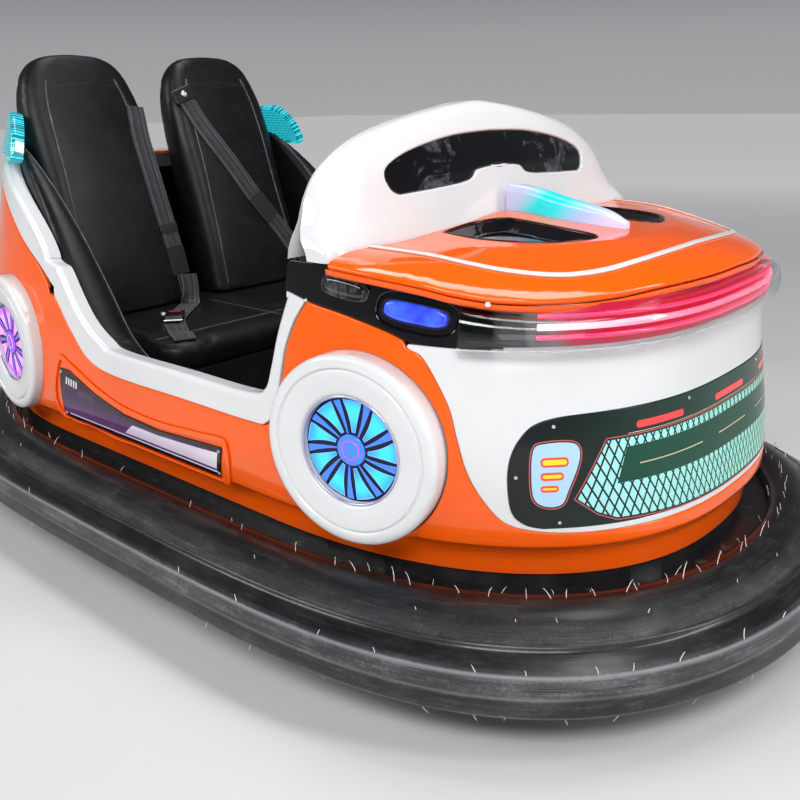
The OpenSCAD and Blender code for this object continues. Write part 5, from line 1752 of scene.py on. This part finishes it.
def relax(me, rounds=2, factor=0.4):
    """Evens out a mesh without shrinking it much"""
    co = read_points(me)
    e = np.empty(len(me.edges) * 2, int)
    me.edges.foreach_get("vertices", e)
    a, b = e.reshape(-1, 2).T
    count = np.bincount(e, minlength=len(co)).astype(float)
    for k in range(rounds * 2):
        total = np.stack([np.bincount(a, co[b, i], len(co)) + np.bincount(b, co[a, i], len(co))
            for i in range(3)], 1)
        co = co + (total / np.maximum(count, 1)[:, None] - co) * (factor if k % 2 == 0 else -factor * 1.02)
    write_points(me, co)


def tree_of(obj):
    me = obj.data
    return BVHTree.FromPolygons([v.co for v in me.vertices], [p.vertices for p in me.polygons])


def projected(tree, points, direction, lift=0.0):
    """Points in millimetres dropped along a direction on to a piece, and the normals there"""
    d = Vector(direction).normalized()
    out, normals = [], []
    for p in points:
        at, n, _, _ = tree.ray_cast(Vector(p) * MM - d * 0.5, d)
        if at is None:
            at, n, _, _ = tree.find_nearest(Vector(p) * MM)
        out.append(np.array(at) / MM + np.array(n) * lift)
        normals.append(np.array(n))
    return np.array(out), np.array(normals)


def on_front(tree, y, z, lift):
    """A line across and up, dropped on to the front of a seat back"""
    return projected(tree, np.stack([front_x(y, z) + 60, y, z], 1), (-1, 0, 0), lift)


def on_top(tree, points, lift):
    return projected(tree, points, (0, 0, -1), lift)


def near_lines(points, axis, values, width):
    """1 on lines across an axis, falling to 0 at the width"""
    d = np.min(np.abs(points[:, axis][:, None] - np.asarray(values)[None]), axis=1)
    return np.clip(1 - d / width, 0, 1)


def stitches(path, normals, step=5.5, length=3.4, radius=0.45, lift=0.3):
    """Row of thread stitches along a path"""
    run = run_along(path)
    parts = []
    for s in np.arange(step, run[-1] - length, step):
        pts = []
        for t in (0, 0.5, 1.0):
            q, n = (np.array([np.interp(s + length * t, run, v[:, i]) for i in range(3)])
                for v in (path, normals))
            pts.append(q + unit(n) * (lift + (0.35 if t == 0.5 else 0)))
        parts.append(tube_data(pts, radius, 4))
    return parts


def add_seams(name, pipes, sews):
    add_piece(name + "_piping", merged(pipes), piping(), "leatherette")
    add_piece(name + "_stitches", merged(sews), thread(), "leatherette")


def make_seat_backs():
    rows = [back_ring(k) for k in np.linspace(0.002, 0.985, 70)]
    last = rows[-1]
    mid = last.mean(0)
    for f, up in ((0.8, 3.0), (0.5, 5.0), (0.2, 6.0)):
        ring = mid + (last - mid) * f
        ring[:, 2] = last[0, 2] + up
        rows.append(ring)
    data = solid_data(rows)
    for (sign, side), (_, pick) in zip(BOTH, SIDES):
        obj = mesh_object("seat_back_%s_pad" % side, *pick(data)[:2])
        mid = SEAT_MID * sign

        def pins(p, mid=mid):
            front = p[:, 0] > front_x(p[:, 1], p[:, 2]) - 34
            off = np.abs(np.abs(p[:, 1] - mid) - seam_half((p[:, 2] - SEAT_TOP) / (BACK_TOP - SEAT_TOP)))
            seam = np.clip(1 - off / 7.5, 0, 1) * front
            foot = np.clip((SEAT_TOP + 26 - p[:, 2]) / 20, 0, 1)
            rear = np.clip((front_x(p[:, 1], p[:, 2]) - 88 - p[:, 0]) / 12, 0, 0.75)
            return np.maximum.reduce([seam, foot, rear])
        stuffed(obj, pins, cap=6.5)
        place(obj, leatherette(), "leatherette", "seat_back_" + side)
        tree = tree_of(obj)
        pipes, sews = [], []
        ks = np.linspace(0.04, 0.90, 46)
        for s in (-1, 1):
            line, n = on_front(tree, mid + s * seam_half(ks), SEAT_TOP + ks * (BACK_TOP - SEAT_TOP), 0.6)
            pipes.append(tube_data(line, 1.9, 7))
            sews += stitches(line + [0, 5.5 * s, 0], n, lift=-0.6)
        y = np.linspace(mid - 88, mid + 88, 30)
        line, n = on_front(tree, y, 838.0 + 10 * np.cos((y - mid) / 60), 0.3)
        sews += stitches(line, n, lift=-0.2)
        add_seams("seat_back_" + side, pipes, sews)
        make_belt(side, tree)


def make_seat_cushion():
    rows = []
    a = (np.arange(120) + 0.5) * 2 * math.pi / 120
    for z, r in ((311, 10), (318, 5), (332, 3.5), (350, 4.5), (358, 8), (363, 14), (364.5, 26)):
        x0, x1 = -620 + r, -120 - r
        rows.append(np.stack([(x0 + x1) / 2 + (x1 - x0) / 2 * spow(np.cos(a), 2 / 9),
            (SEAT_HALF - r) * spow(np.sin(a), 2 / 9), np.full(120, z)], 1))
    obj = mesh_object("seat_cushion_pad", *solid_data(rows)[:2])

    def pins(p):
        top = p[:, 2] > 345
        seam = np.maximum(near_lines(p, 1, [0], 8), near_lines(p, 0, [-205], 7)
            * (np.abs(p[:, 1]) < 300)) * top
        low = np.clip((330 - p[:, 2]) / 12, 0, 1)
        return np.maximum.reduce([seam, low, near_lines(p, 1, [-SEAT_HALF, SEAT_HALF], 8)])
    stuffed(obj, pins, cap=6.0)
    place(obj, leatherette(), "leatherette", "seat_cushion")
    tree = tree_of(obj)
    sews, pipes = [], []
    for path, off in (([[x, 0, 500] for x in np.linspace(-420, -136, 40)], [0, 5, 0]),
            ([[-205, y, 500] for y in np.linspace(-296, 296, 80)], [5, 0, 0])):
        line, n = on_top(tree, path, 0.2)
        pipes.append(tube_data(line, 1.6, 6))
        sews += stitches(line + off, n, lift=0.1)
    add_seams("seat_cushion", pipes, sews)
    make_lap_belt(tree)


def side_half(x, z):
    """Half width of the body at places on its side"""
    return np.abs(body_point(side_run(x, z), z)[..., 1])


def bolster_top(x):
    return np.interp(x, BOLSTER[:, 0], BOLSTER[:, 1])


def gather(me, sign):
    """Pinched folds where a bolster's cover is drawn together at its front corner"""
    p, n = read_points(me) / MM, read_points(me, "normal")
    near = np.clip((p[:, 0] + 225) / 75, 0, 1) ** 1.5
    fan = np.arctan2(p[:, 2] - 318, -118 - p[:, 0]) * 16 + p[:, 1] * sign * 0.05
    write_points(me, (p - n * (near * (1.6 + 1.4 * np.sin(fan)))[:, None]) * MM)


def make_bolsters():
    rows = []
    quarter = np.radians(np.linspace(0, 90, 6))[1:]
    for x in np.linspace(-618, -140, 90):
        top = bolster_top(x) - 5
        low = max(top - 190, 165)
        z_out = np.array([low, low + (top - low) * 0.5, top - 26])
        out = side_half(np.full(3, x), z_out) - BOLSTER_GAP
        inner = SEAT_HALF + 3.5
        r_in = min(22, (out[2] - inner) * 0.4)
        w = out[2] - inner - r_in
        ring = [[x, inner, low], [x, inner, (low + top) / 2], [x, inner, top - r_in]]
        ring += [[x, inner + r_in * (1 - math.cos(a)), top - r_in * (1 - math.sin(a))] for a in quarter]
        ring += [[x, out[2] - w * 0.5 * (1 - math.sin(a)), top - 26 * (1 - math.cos(a))] for a in quarter]
        rows.append(ring + [[x, out[1], z_out[1]], [x, out[0], low]])
    data = solid_data(rows)
    for sign, side in BOTH:
        obj = mesh_object("side_bolster_%s_pad" % side, *(mirrored(data) if sign < 0 else data)[:2])

        def pins(p, sign=sign):
            top = bolster_top(p[:, 0]) - 5
            y = p[:, 1] * sign
            seam = np.clip(1 - np.abs(p[:, 2] - (top - 30)) / 7, 0, 1) * (y < SEAT_HALF + 12)
            low = np.clip((top - 120 - p[:, 2]) / 20, 0, 1)
            outer = np.clip(1 - (side_half(p[:, 0], p[:, 2]) - BOLSTER_GAP - y) / 6, 0, 0.75)
            front = np.clip((p[:, 0] + 156) / 10, 0, 1)
            return np.maximum.reduce([seam, low, outer, front])
        stuffed(obj, pins, cap=4.5)
        gather(obj.data, sign)
        place(obj, leatherette(), "leatherette", "side_bolster_" + side)
        tree = tree_of(obj)
        x = np.linspace(-600, -165, 80)
        line, _ = on_top(tree, np.stack([x, np.full(80, sign * (SEAT_HALF + 14)), bolster_top(x) + 60], 1),
            0.3)
        sewn, n = on_top(tree, line + [0, 6.0 * sign, 60], 0.1)
        add_seams("side_bolster_" + side, [tube_data(line, 1.8, 7)], stitches(sewn, n))


# ---------------------------------------------------------------- belts

BELT_W = 45.0
# Where each belt runs on its seat back: heights and places across
BELT_RUNS = {"right": ([430, 500, 600, 720, 800], [-58, -61, -67, -72, -64]),
    "left": ([445, 490, 570, 665, 760, 830], [288, 261, 205, 150, 96, 70])}
UP = np.array([0, 0, 1.0])


def webbing():
    """Woven belt: two dark stripes, ribs whose lighter tops are painted sheen, and a fine weave"""
    m, n, s = material("Webbing")
    if n:
        across, along, _ = n.split(n.surface())
        co = n.coords()
        stripe = n.math("MAXIMUM", *[n.mul(n.remap(across, c - 0.0045, c - 0.0035),
            n.remap(across, c + 0.0045, c + 0.0035)) for c in (0.0175, 0.0335)])
        # Lighter grey on the ribs' tops: painted sheen
        top = n.mul(n.remap(n.wave(across, 0.0095), 0.1, 0.9), n.remap(n.noise(co, 24.0, 3.0), 0.35, 0.65,
            0.35, 1.0))
        c = n.mix(stripe, n.mix(top, (0.016, 0.016, 0.020), (0.085, 0.087, 0.098)), (0.005, 0.005, 0.006))
        # Lighter random patches: partly wear, partly painted sheen
        worn = n.mix(n.remap(n.noise(co, 60.0, 5.0), 0.5, 0.75, 0, 0.3), c, (0.07, 0.07, 0.08))
        n.link(worn, s, "Base Color")
        n.link(n.remap(n.noise(co, 30.0, 3.0), 0.3, 0.7, 0.5, 0.7), s, "Roughness")
        n.bump(s, n.mul(n.wave(along, 0.0024), n.wave(across, 0.0016)), 0.35, 0.0006)
        s.inputs["Sheen Weight"].default_value = 0.15
    return m


def make_belt(side, tree):
    heights, sides = BELT_RUNS[side]
    z = np.linspace(heights[0] + 2, heights[-1] - 2, 60)
    path, n = on_front(tree, smooth_table(heights, sides, z), z, 1.0)
    n = unit(n * [1, 0.35, 1] + [0.4, 0, 0])
    name = "seat_belt_" + side
    add_piece(name + "_strap", ribbon_data(path[::-1], n[::-1], BELT_W, 2.2), webbing(), "webbing", name)
    sleeves = [ribbon_data(path[a:b][::-1] + n[a:b][::-1] * 1.6, n[a:b][::-1], BELT_W + 2.5, 2.4) for a,
        b in (((0, 11), (15, 19)) if side == "right" else ((12, 22),))]
    add_piece(name + "_sleeves", merged(sleeves), plastic("Sewn sleeve", (0.012, 0.012, 0.013), 0.2),
        "webbing")
    if side == "left":
        at, normal = path[-2] + n[-2] * 3.0, n[-2]
        along = unit(path[-1] - path[-6])
        guide = rounded_box(at, along * 17, unit(np.cross(along, normal)) * 31, normal * 4.0, 5)
        add_piece(name + "_guide", guide, plastic("Belt guide", (0.01, 0.01, 0.01)), "webbing")
        add_piece(name + "_bolt", screw_data(at + normal * 3.6, normal, 8, 3.5), bright_metal(), "webbing")


def make_lap_belt(tree):
    """The right belt's lower length: from the seat back's foot over the cushion, with its buckle"""
    back = np.array([[-412, -60, 436], [-404, -63, 412], [-398, -68, 394]], float)
    flat = spline([[-392, -76, 500], [-372, -98, 500], [-330, -146, 500], [-286, -190, 500],
        [-236, -222, 500], [-186, -246, 500], [-150, -262, 500]], 6)
    lie, up = on_top(tree, flat, 2.0)
    path = spline(np.vstack([back, lie[::3]]), 4)
    n = np.vstack([[unit([1, 0, 0.25])] * len(back), unit(up[::3])])
    t, at = np.linspace(0, 1, len(path)), np.linspace(0, 1, len(n))
    n = unit(np.stack([np.interp(t, at, n[:, i]) for i in range(3)], 1))
    add_piece("seat_belt_right_lap", ribbon_data(path, n, BELT_W * 0.94, 2.2), webbing(), "webbing")
    k = len(flat) // 2
    make_buckle(lie[k] + [0, 0, 8.5], unit(lie[k - 3] - lie[k + 3]))


def rounded_box(at, a, b, c, radius, n=5):
    """Box with half lengths a, b, c as vectors and rounded edges"""
    la, lb, lc = (float(np.linalg.norm(v)) for v in (a, b, c))
    ua, ub, uc = unit(a), unit(b), unit(c)
    r = min(radius, la * 0.95, lb * 0.95, lc * 0.95)
    rows = []
    for lat in np.radians(np.linspace(-90, 90, 2 * n)):
        sz = 1 if lat > 0 else -1
        ring = []
        for q, (sx, sy) in enumerate(((1, 1), (-1, 1), (-1, -1), (1, -1))):
            ring += [at + ua * (sx * (la - r) + r * math.cos(lat) * math.cos(t)) + ub
                * (sy * (lb - r) + r * math.cos(lat) * math.sin(t)) + uc * (sz * (lc - r) + r * math.sin(lat))
                for t in np.radians(np.linspace(q * 90, q * 90 + 90, n))]
        rows.append(ring)
    return solid_data(rows)


def make_buckle(at, along):
    across = unit(np.cross(along, UP))
    body = rounded_box(at, along * 27, across * 20, UP * 7, 4)
    button = rounded_box(at + along * 20 + UP * 6.4, along * 4.5, across * 13, UP * 1.6, 1.5)
    tongue = rounded_box(at - along * 33 + UP * 1.0, along * 8, across * 17, UP * 1.4, 1.2)
    ring = rounded_box(at - along * 42 + UP * 1.0, along * 3.2, across * 20, UP * 2.2, 2)
    pin = screw_data(at + along * 12 - across * 24 + UP * 2, UP, 7.5, 5)
    for name, data, look in (("buckle", body, plastic("Buckle black", (0.008, 0.008, 0.009), -0.1)),
            ("button", button, plastic("Buckle red", (0.45, 0.02, 0.015), -0.15)),
            ("tongue", merged([tongue, ring, pin]), bright_metal())):
        add_piece("seat_belt_right_" + name, data, look, "webbing")


class BUMPERCAR_OT_seats(bpy.types.Operator):
    """Make the stuffed seats and bolsters with their seams, and the two belts"""
    bl_idname = "bumper_car.seats"
    bl_label = "Seats and belts"

    def execute(self, context):
        make_seat_cushion()
        make_seat_backs()
        make_bolsters()
        return {"FINISHED"}


# ---------------------------------------------------------------- tail lamps, steering and running gear

def make_tail_lamps():
    curve = spline([[-628, 672], [-626, 742], [-606, 778], [-572, 794], [-536, 788], [-506, 758], [-492, 716],
        [-490, 668]], 8)
    loop = np.vstack([curve[curve[:, 1] > TAIL_Z + 1], [[-497, 700], [-560, 707], [-627, 706]]])
    data = side_panel(loop, 7.0, depth=24, step=7, fine=4, out=7.0)
    m, n, s = material("Tail lamp lens")
    if n:
        cells = n.node("ShaderNodeTexVoronoi", {"Vector": n.surface(), "Scale": 240.0, "Randomness": 0.0})
        dots = n.remap(cells.outputs["Distance"], 0.36, 0.30)
        n.glow(s, n.mix(dots, (0.0, 0.20, 0.26), (0.03, 0.75, 0.85)), 0.8)
        body = n.mix(dots, (0.01, 0.10, 0.13), (0.05, 0.5, 0.6))
        finish(n, s, "Gloss Coat", gloss(body, 0.02, 0.3, 0.1), 0.05, Coat_Weight=0.8)
    for side, pick in SIDES:
        add_piece("tail_lamp_%s_lens" % side, pick(data), m, "cyan_lens", "tail_lamp_" + side)


COLUMN = math.radians(40.0)
WHEEL_AT = np.array([215.0, 0, 620.0])
SPOKE = ((-1, -0.4), (-0.8, -1), (0.8, -1), (1, -0.4), (1, 0.4), (0.8, 1), (0.2, 0.7), (-0.2, 0.7), (-0.8, 1),
    (-1, 0.4))


def at_wheel(px, py, h):
    """Point of the steering wheel: px and py lie in its plane, h along its column"""
    ex = np.array([math.sin(COLUMN), 0, math.cos(COLUMN)])
    ez = np.array([-math.cos(COLUMN), 0, math.sin(COLUMN)])
    return WHEEL_AT + ex * px + np.array([0, 1.0, 0]) * py + ez * h


def make_steering_wheel():
    def add(name, data, look, node=None):
        add_piece("steering_wheel_" + name, data, look, "soft_grip", node, "steering_wheel")

    rows = []
    for a in turns(120):
        grip = 12 - 0.9 * (0.5 + 0.5 * math.cos(a * 36))
        rows.append([at_wheel((140 + grip * math.cos(t)) * math.cos(a),
            (140 + grip * math.cos(t)) * math.sin(a), grip * math.sin(t)) for t in turns(18)])
    soft = coated("Soft grip", "Leather Grain", {"Color": (0.012, 0.012, 0.013), "Grain": 700.0,
        "Dust": 0.15}, 0.25, 0.0006)
    add("grip", facing_out(grid_data(rows, wrap_u=True, wrap_v=True)), soft, "steering_wheel")
    parts = []
    for a in (60, 180, 300):
        c, s = math.cos(math.radians(a)), math.sin(math.radians(a))
        rows = []
        for r in np.linspace(24, 131, 14):
            w = 11 - 3.5 * math.sin((r - 24) / 107 * math.pi)
            rows.append([at_wheel(r * c - x * w * s, r * s + x * w * c, h * 3.9) for x, h in SPOKE])
        parts.append(solid_data(rows))
    hub = rounded_profile([(8.2, -19.8), (30, -19.8), (30, 11.5), (26, 11.8), (24, 9.5), (12, 9.5),
        (0.01, 9.0)], 2.5)
    parts.append(lathe_out(hub, at_wheel, 48))
    add("spokes", merged(parts), enamel("Spoke enamel", (0.02, 0.02, 0.022), 0.3, 0.02))
    axis = unit(at_wheel(0, 0, 1) - at_wheel(0, 0, 0))
    bolts = [screw_data(at_wheel(19 * math.cos(t), 19 * math.sin(t), 9.6), axis, 2.6, 1.4)
        for t in np.radians(np.arange(30, 360, 60))]
    add("bolts", merged(bolts + [screw_data(at_wheel(0, 0, 9.4), axis, 6.5, 2.2)]), bright_metal())


def make_running_wheels():
    rubber = coated("Solid tyre", "Worn Rubber", {"Color": (0.02, 0.02, 0.02),
        "Scuff Color": (0.2, 0.19, 0.18), "Wear": 0.6}, 0.4, 0.0015)
    steel = enamel("Hub enamel", (0.10, 0.10, 0.11), 0.5, 0.3)
    for node, at, r, w, bore in (("drive_wheel", (485, 0, 100), 100, 50, 10.1),
            ("rear_wheel_right", (-560, -320, 62), 62, 36, 8.1), ("rear_wheel_left", (-560, 320, 62), 62, 36,
            8.1)):
        h = w / 2

        def local(px, py, d, at=at):
            return np.array([at[0] + px, at[1] + d, at[2] + py])
        tyre = [(r * 0.74, -h + 0.2), (r - 5, -h + 0.2), (r - 1.2, -h + 5), (r - 0.2, -h + 9),
            (r - 0.2, -3.5), (r - 3, -3), (r - 3, 3), (r - 0.2, 3.5), (r - 0.2, h - 9), (r - 1.2, h - 5),
            (r - 5, h - 0.2), (r * 0.74, h - 0.2)]
        hub = [(bore, -h + 0.2), (r * 0.35, -h + 0.2), (r * 0.38, -h + 4), (r * 0.7, -h + 4),
            (r * 0.74, -h + 0.3), (r * 0.75, 0), (r * 0.74, h - 0.3), (r * 0.7, h - 4), (r * 0.38, h - 4),
            (r * 0.35, h - 0.2), (bore, h - 0.2)]
        for name, profile, n, look, stands_for in (("_tyre", tyre, 48, rubber, node),
                ("_hub", hub, 40, steel, None)):
            data = facing_out(lathe_data(profile + profile[:1], local, n))
            add_piece(node + name, data, look, "wheel_rubber", stands_for, node)


def make_fittings():
    """Bolts on the running gear and ribs on the pedal"""
    bolts = [screw_data(np.array([x, s * y, z]), UP, r, h) for s in (-1, 1) for xs, y, z, r,
        h in (((-620, -500), 250.0, 151.0, 6, 3), ((438, 532), 250.0, 248.0, 6, 3),
        ((-90, 110, 250), 330.0, 151.0, 5, 2.4)) for x in xs]
    add_piece("chassis_bolts", merged(bolts), bright_metal("Zinc bolt", (0.5, 0.5, 0.5), 0.2), "black_steel")
    sides = [np.array(v) for v in ((0, 30.0, 0), (-1.2, 0, 0.6), (0.4, 0, 1.6))]
    ribs = [rounded_box(np.array([289 + 13 * k / 6, -185.0, 165 + 27 * k / 6]), *sides, 0.8, 3)
        for k in range(7)]
    add_piece("pedal_ribs", merged(ribs), plastic("Pedal rubber", (0.02, 0.02, 0.02), 0.2), "bare_steel")


class BUMPERCAR_OT_fittings(bpy.types.Operator):
    """Make the tail lamps, the steering wheel, the running wheels and small fittings"""
    bl_idname = "bumper_car.fittings"
    bl_label = "Lamps, steering and wheels"

    def execute(self, context):
        make_tail_lamps()
        make_steering_wheel()
        make_running_wheels()
        make_fittings()
        return {"FINISHED"}


# ---------------------------------------------------------------- stage

CAMERA_AT = (1.29392, -1.24763, 0.80869)
CAMERA_YAW, CAMERA_PITCH, CAMERA_ROLL = math.radians(131.682), math.radians(-17.09), math.radians(-1.2316)
FOCAL_PX, CENTRE_PX, PHOTO_PX, SENSOR_MM = 907.14, (405.39, 374.81), 800, 36
FLOOR_HALF = 30.0
# Name, place, size, power and aim of each light
LIGHTS = (("Key", (2.2, -2.6, 3.2), (2.4, 1.0), 104, (0.1, 0, 0.35)),
    ("Fill", (-1.8, -3.2, 2.4), (2.6, 0.8), 66, (-0.2, 0, 0.4)), ("Front strip", (3.4, 0.8, 2.6), (0.5, 3.0),
    66, (0.4, 0, 0.4)), ("Low fill", (2.5, -1.9, 0.75), (1.8, 0.7), 10, (0.4, -0.2, 0.2)),
    ("Top", (0.0, 0.6, 3.6), (3.2, 0.7), 55, (0, 0, 0.3)))


def stage_object(name, data):
    obj = bpy.data.objects.new(name, data)
    bpy.context.scene.collection.objects.link(obj)
    return obj


def make_camera():
    cam = bpy.data.cameras.new("Photo camera")
    cam.sensor_width = SENSOR_MM
    cam.lens = FOCAL_PX / PHOTO_PX * SENSOR_MM
    cam.shift_x = (PHOTO_PX / 2 - CENTRE_PX[0]) / PHOTO_PX
    cam.shift_y = (CENTRE_PX[1] - PHOTO_PX / 2) / PHOTO_PX
    obj = stage_object("Photo camera", cam)
    cp, cy, sy = math.cos(CAMERA_PITCH), math.cos(CAMERA_YAW), math.sin(CAMERA_YAW)
    forward = Vector((cp * cy, cp * sy, math.sin(CAMERA_PITCH)))
    right = Vector((sy, -cy, 0))
    up = right.cross(forward)
    cr, sr = math.cos(CAMERA_ROLL), math.sin(CAMERA_ROLL)
    m = Matrix((cr * right + sr * up, -sr * right + cr * up, -forward)).transposed().to_4x4()
    m.translation = Vector(CAMERA_AT)
    obj.matrix_world = m
    bpy.context.scene.camera = obj


def make_floor():
    """Pale floor, clear from underneath so that the running gear can be looked at"""
    me = bpy.data.meshes.new("Floor")
    s = FLOOR_HALF
    me.from_pydata([(-s, -s, 0), (s, -s, 0), (s, s, 0), (-s, s, 0)], [], [(0, 1, 2, 3)])
    floor = stage_object("Floor", me)
    m, n, shader = material("Pale floor")
    if n:
        co = n.coords()
        far = n.node("ShaderNodeVectorMath", {0: co}, operation="LENGTH").outputs["Value"]
        for value, socket in ((n.remap(n.noise(co, 1.2, 4.0), 0.3, 0.7, 0.60, 0.66), "Base Color"),
                (n.remap(far, 1.6, 7.0, 0.0, 0.42), "Emission Color")):
            n.link(n.node("ShaderNodeCombineColor", {0: value, 1: value, 2: value}).outputs[0], shader,
                socket)
        shader.inputs["Roughness"].default_value = 0.55
        shader.inputs["Emission Strength"].default_value = 1.0
        below = n.node("ShaderNodeNewGeometry").outputs["Backfacing"]
        clear = n.node("ShaderNodeBsdfTransparent").outputs[0]
        both = n.node("ShaderNodeMixShader", {0: below, 1: shader.outputs[0], 2: clear}).outputs[0]
        n.link(both, n.tree.nodes["Material Output"], "Surface")
    me.materials.append(m)


def make_light():
    world = bpy.data.worlds.new("Studio")
    bpy.context.scene.world = world
    world.use_nodes = True
    w = Net(world.node_tree)
    back = world.node_tree.nodes["Background"]
    z = w.split(w.node("ShaderNodeTexCoord").outputs["Generated"])[2]
    sky = w.ramp(w.remap(z, -0.1, 0.9), [(0.0, (0.80, 0.80, 0.81)), (0.16, (0.60, 0.61, 0.63)),
        (0.30, (0.16, 0.165, 0.18)), (1.0, (0.10, 0.10, 0.12))])
    w.link(sky, back, 0)
    back.inputs[1].default_value = 0.55
    bpy.context.scene.view_settings.view_transform = "Standard"
    for name, at, size, power, aim in LIGHTS:
        light = bpy.data.lights.new(name, "AREA")
        light.shape = "RECTANGLE"
        light.size, light.size_y = size
        light.energy = power
        obj = stage_object(name, light)
        obj.location = at
        obj.rotation_euler = (Vector(aim) - Vector(at)).to_track_quat("-Z", "Y").to_euler()


class BUMPERCAR_OT_stage(bpy.types.Operator):
    """Make the floor, the lights and the camera"""
    bl_idname = "bumper_car.stage"
    bl_label = "Stage"

    def execute(self, context):
        make_camera()
        make_floor()
        make_light()
        return {"FINISHED"}


# ---------------------------------------------------------------- finishes of the frame's own nodes

def frame_finishes():
    """Which finish each CAD node gets"""
    black = plastic("Black moulding", (0.012, 0.012, 0.013), -0.1)
    return {"bumper_ring": enamel("Rubber stand-in", (0.03, 0.03, 0.03)),
        "chassis_frame": enamel("Chassis enamel", (0.05, 0.05, 0.053)),
        "floor_pan": enamel("Deck enamel", (0.008, 0.008, 0.009), 0.2, 0.05), "body_skirt": black,
        "seat_box": black, "dash_panel": black, "rear_deck": orange(), "windshield_arch": white(),
        "windscreen": wet_black(), "battery": plastic("Battery case", (0.03, 0.05, 0.08)),
        "pedal": bright_metal(), "steering_column": bright_metal("Column steel", (0.4, 0.4, 0.42)),
        "drive_fork": enamel("Drive enamel", (0.02, 0.02, 0.022), 0.5, 0.2),}


class BUMPERCAR_OT_finishes(bpy.types.Operator):
    """Give the frame's own nodes their finishes"""
    bl_idname = "bumper_car.finishes"
    bl_label = "Finishes"

    def execute(self, context):
        default = plastic("Plain part", (0.2, 0.2, 0.2))
        looks = frame_finishes()
        for name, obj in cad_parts.items():
            obj.data.materials.clear()
            obj.data.materials.append(looks.get(name, default))
        return {"FINISHED"}


OPERATORS = [BUMPERCAR_OT_stage, BUMPERCAR_OT_finishes, BUMPERCAR_OT_body, BUMPERCAR_OT_ring,
    BUMPERCAR_OT_covers, BUMPERCAR_OT_front, BUMPERCAR_OT_prints, BUMPERCAR_OT_seats, BUMPERCAR_OT_fittings]


class BUMPERCAR_PT_panel(bpy.types.Panel):
    """Lists the settings and the pieces"""
    bl_idname = "BUMPERCAR_PT_panel"
    bl_label = "Bumper Car"
    bl_space_type = "VIEW_3D"
    bl_region_type = "UI"
    bl_category = "Bumper Car"

    def draw(self, context):
        for key in BumperCarSettings.__annotations__:
            self.layout.prop(context.scene.bumper_car, key)
        for op in OPERATORS:
            self.layout.operator(op.bl_idname)


CLASSES = [BumperCarSettings] + OPERATORS + [BUMPERCAR_PT_panel]


def register():
    for c in CLASSES:
        bpy.utils.register_class(c)
    bpy.types.Scene.bumper_car = PointerProperty(type=BumperCarSettings)


def unregister():
    del bpy.types.Scene.bumper_car
    for c in reversed(CLASSES):
        bpy.utils.unregister_class(c)


def main():
    register()
    make_groups()
    for op in OPERATORS:
        module, name = op.bl_idname.split(".")
        result = getattr(getattr(bpy.ops, module), name)()
        if result != {"FINISHED"}:
            raise RuntimeError(op.bl_label + " did not finish")


if __name__ == "__main__":
    main()
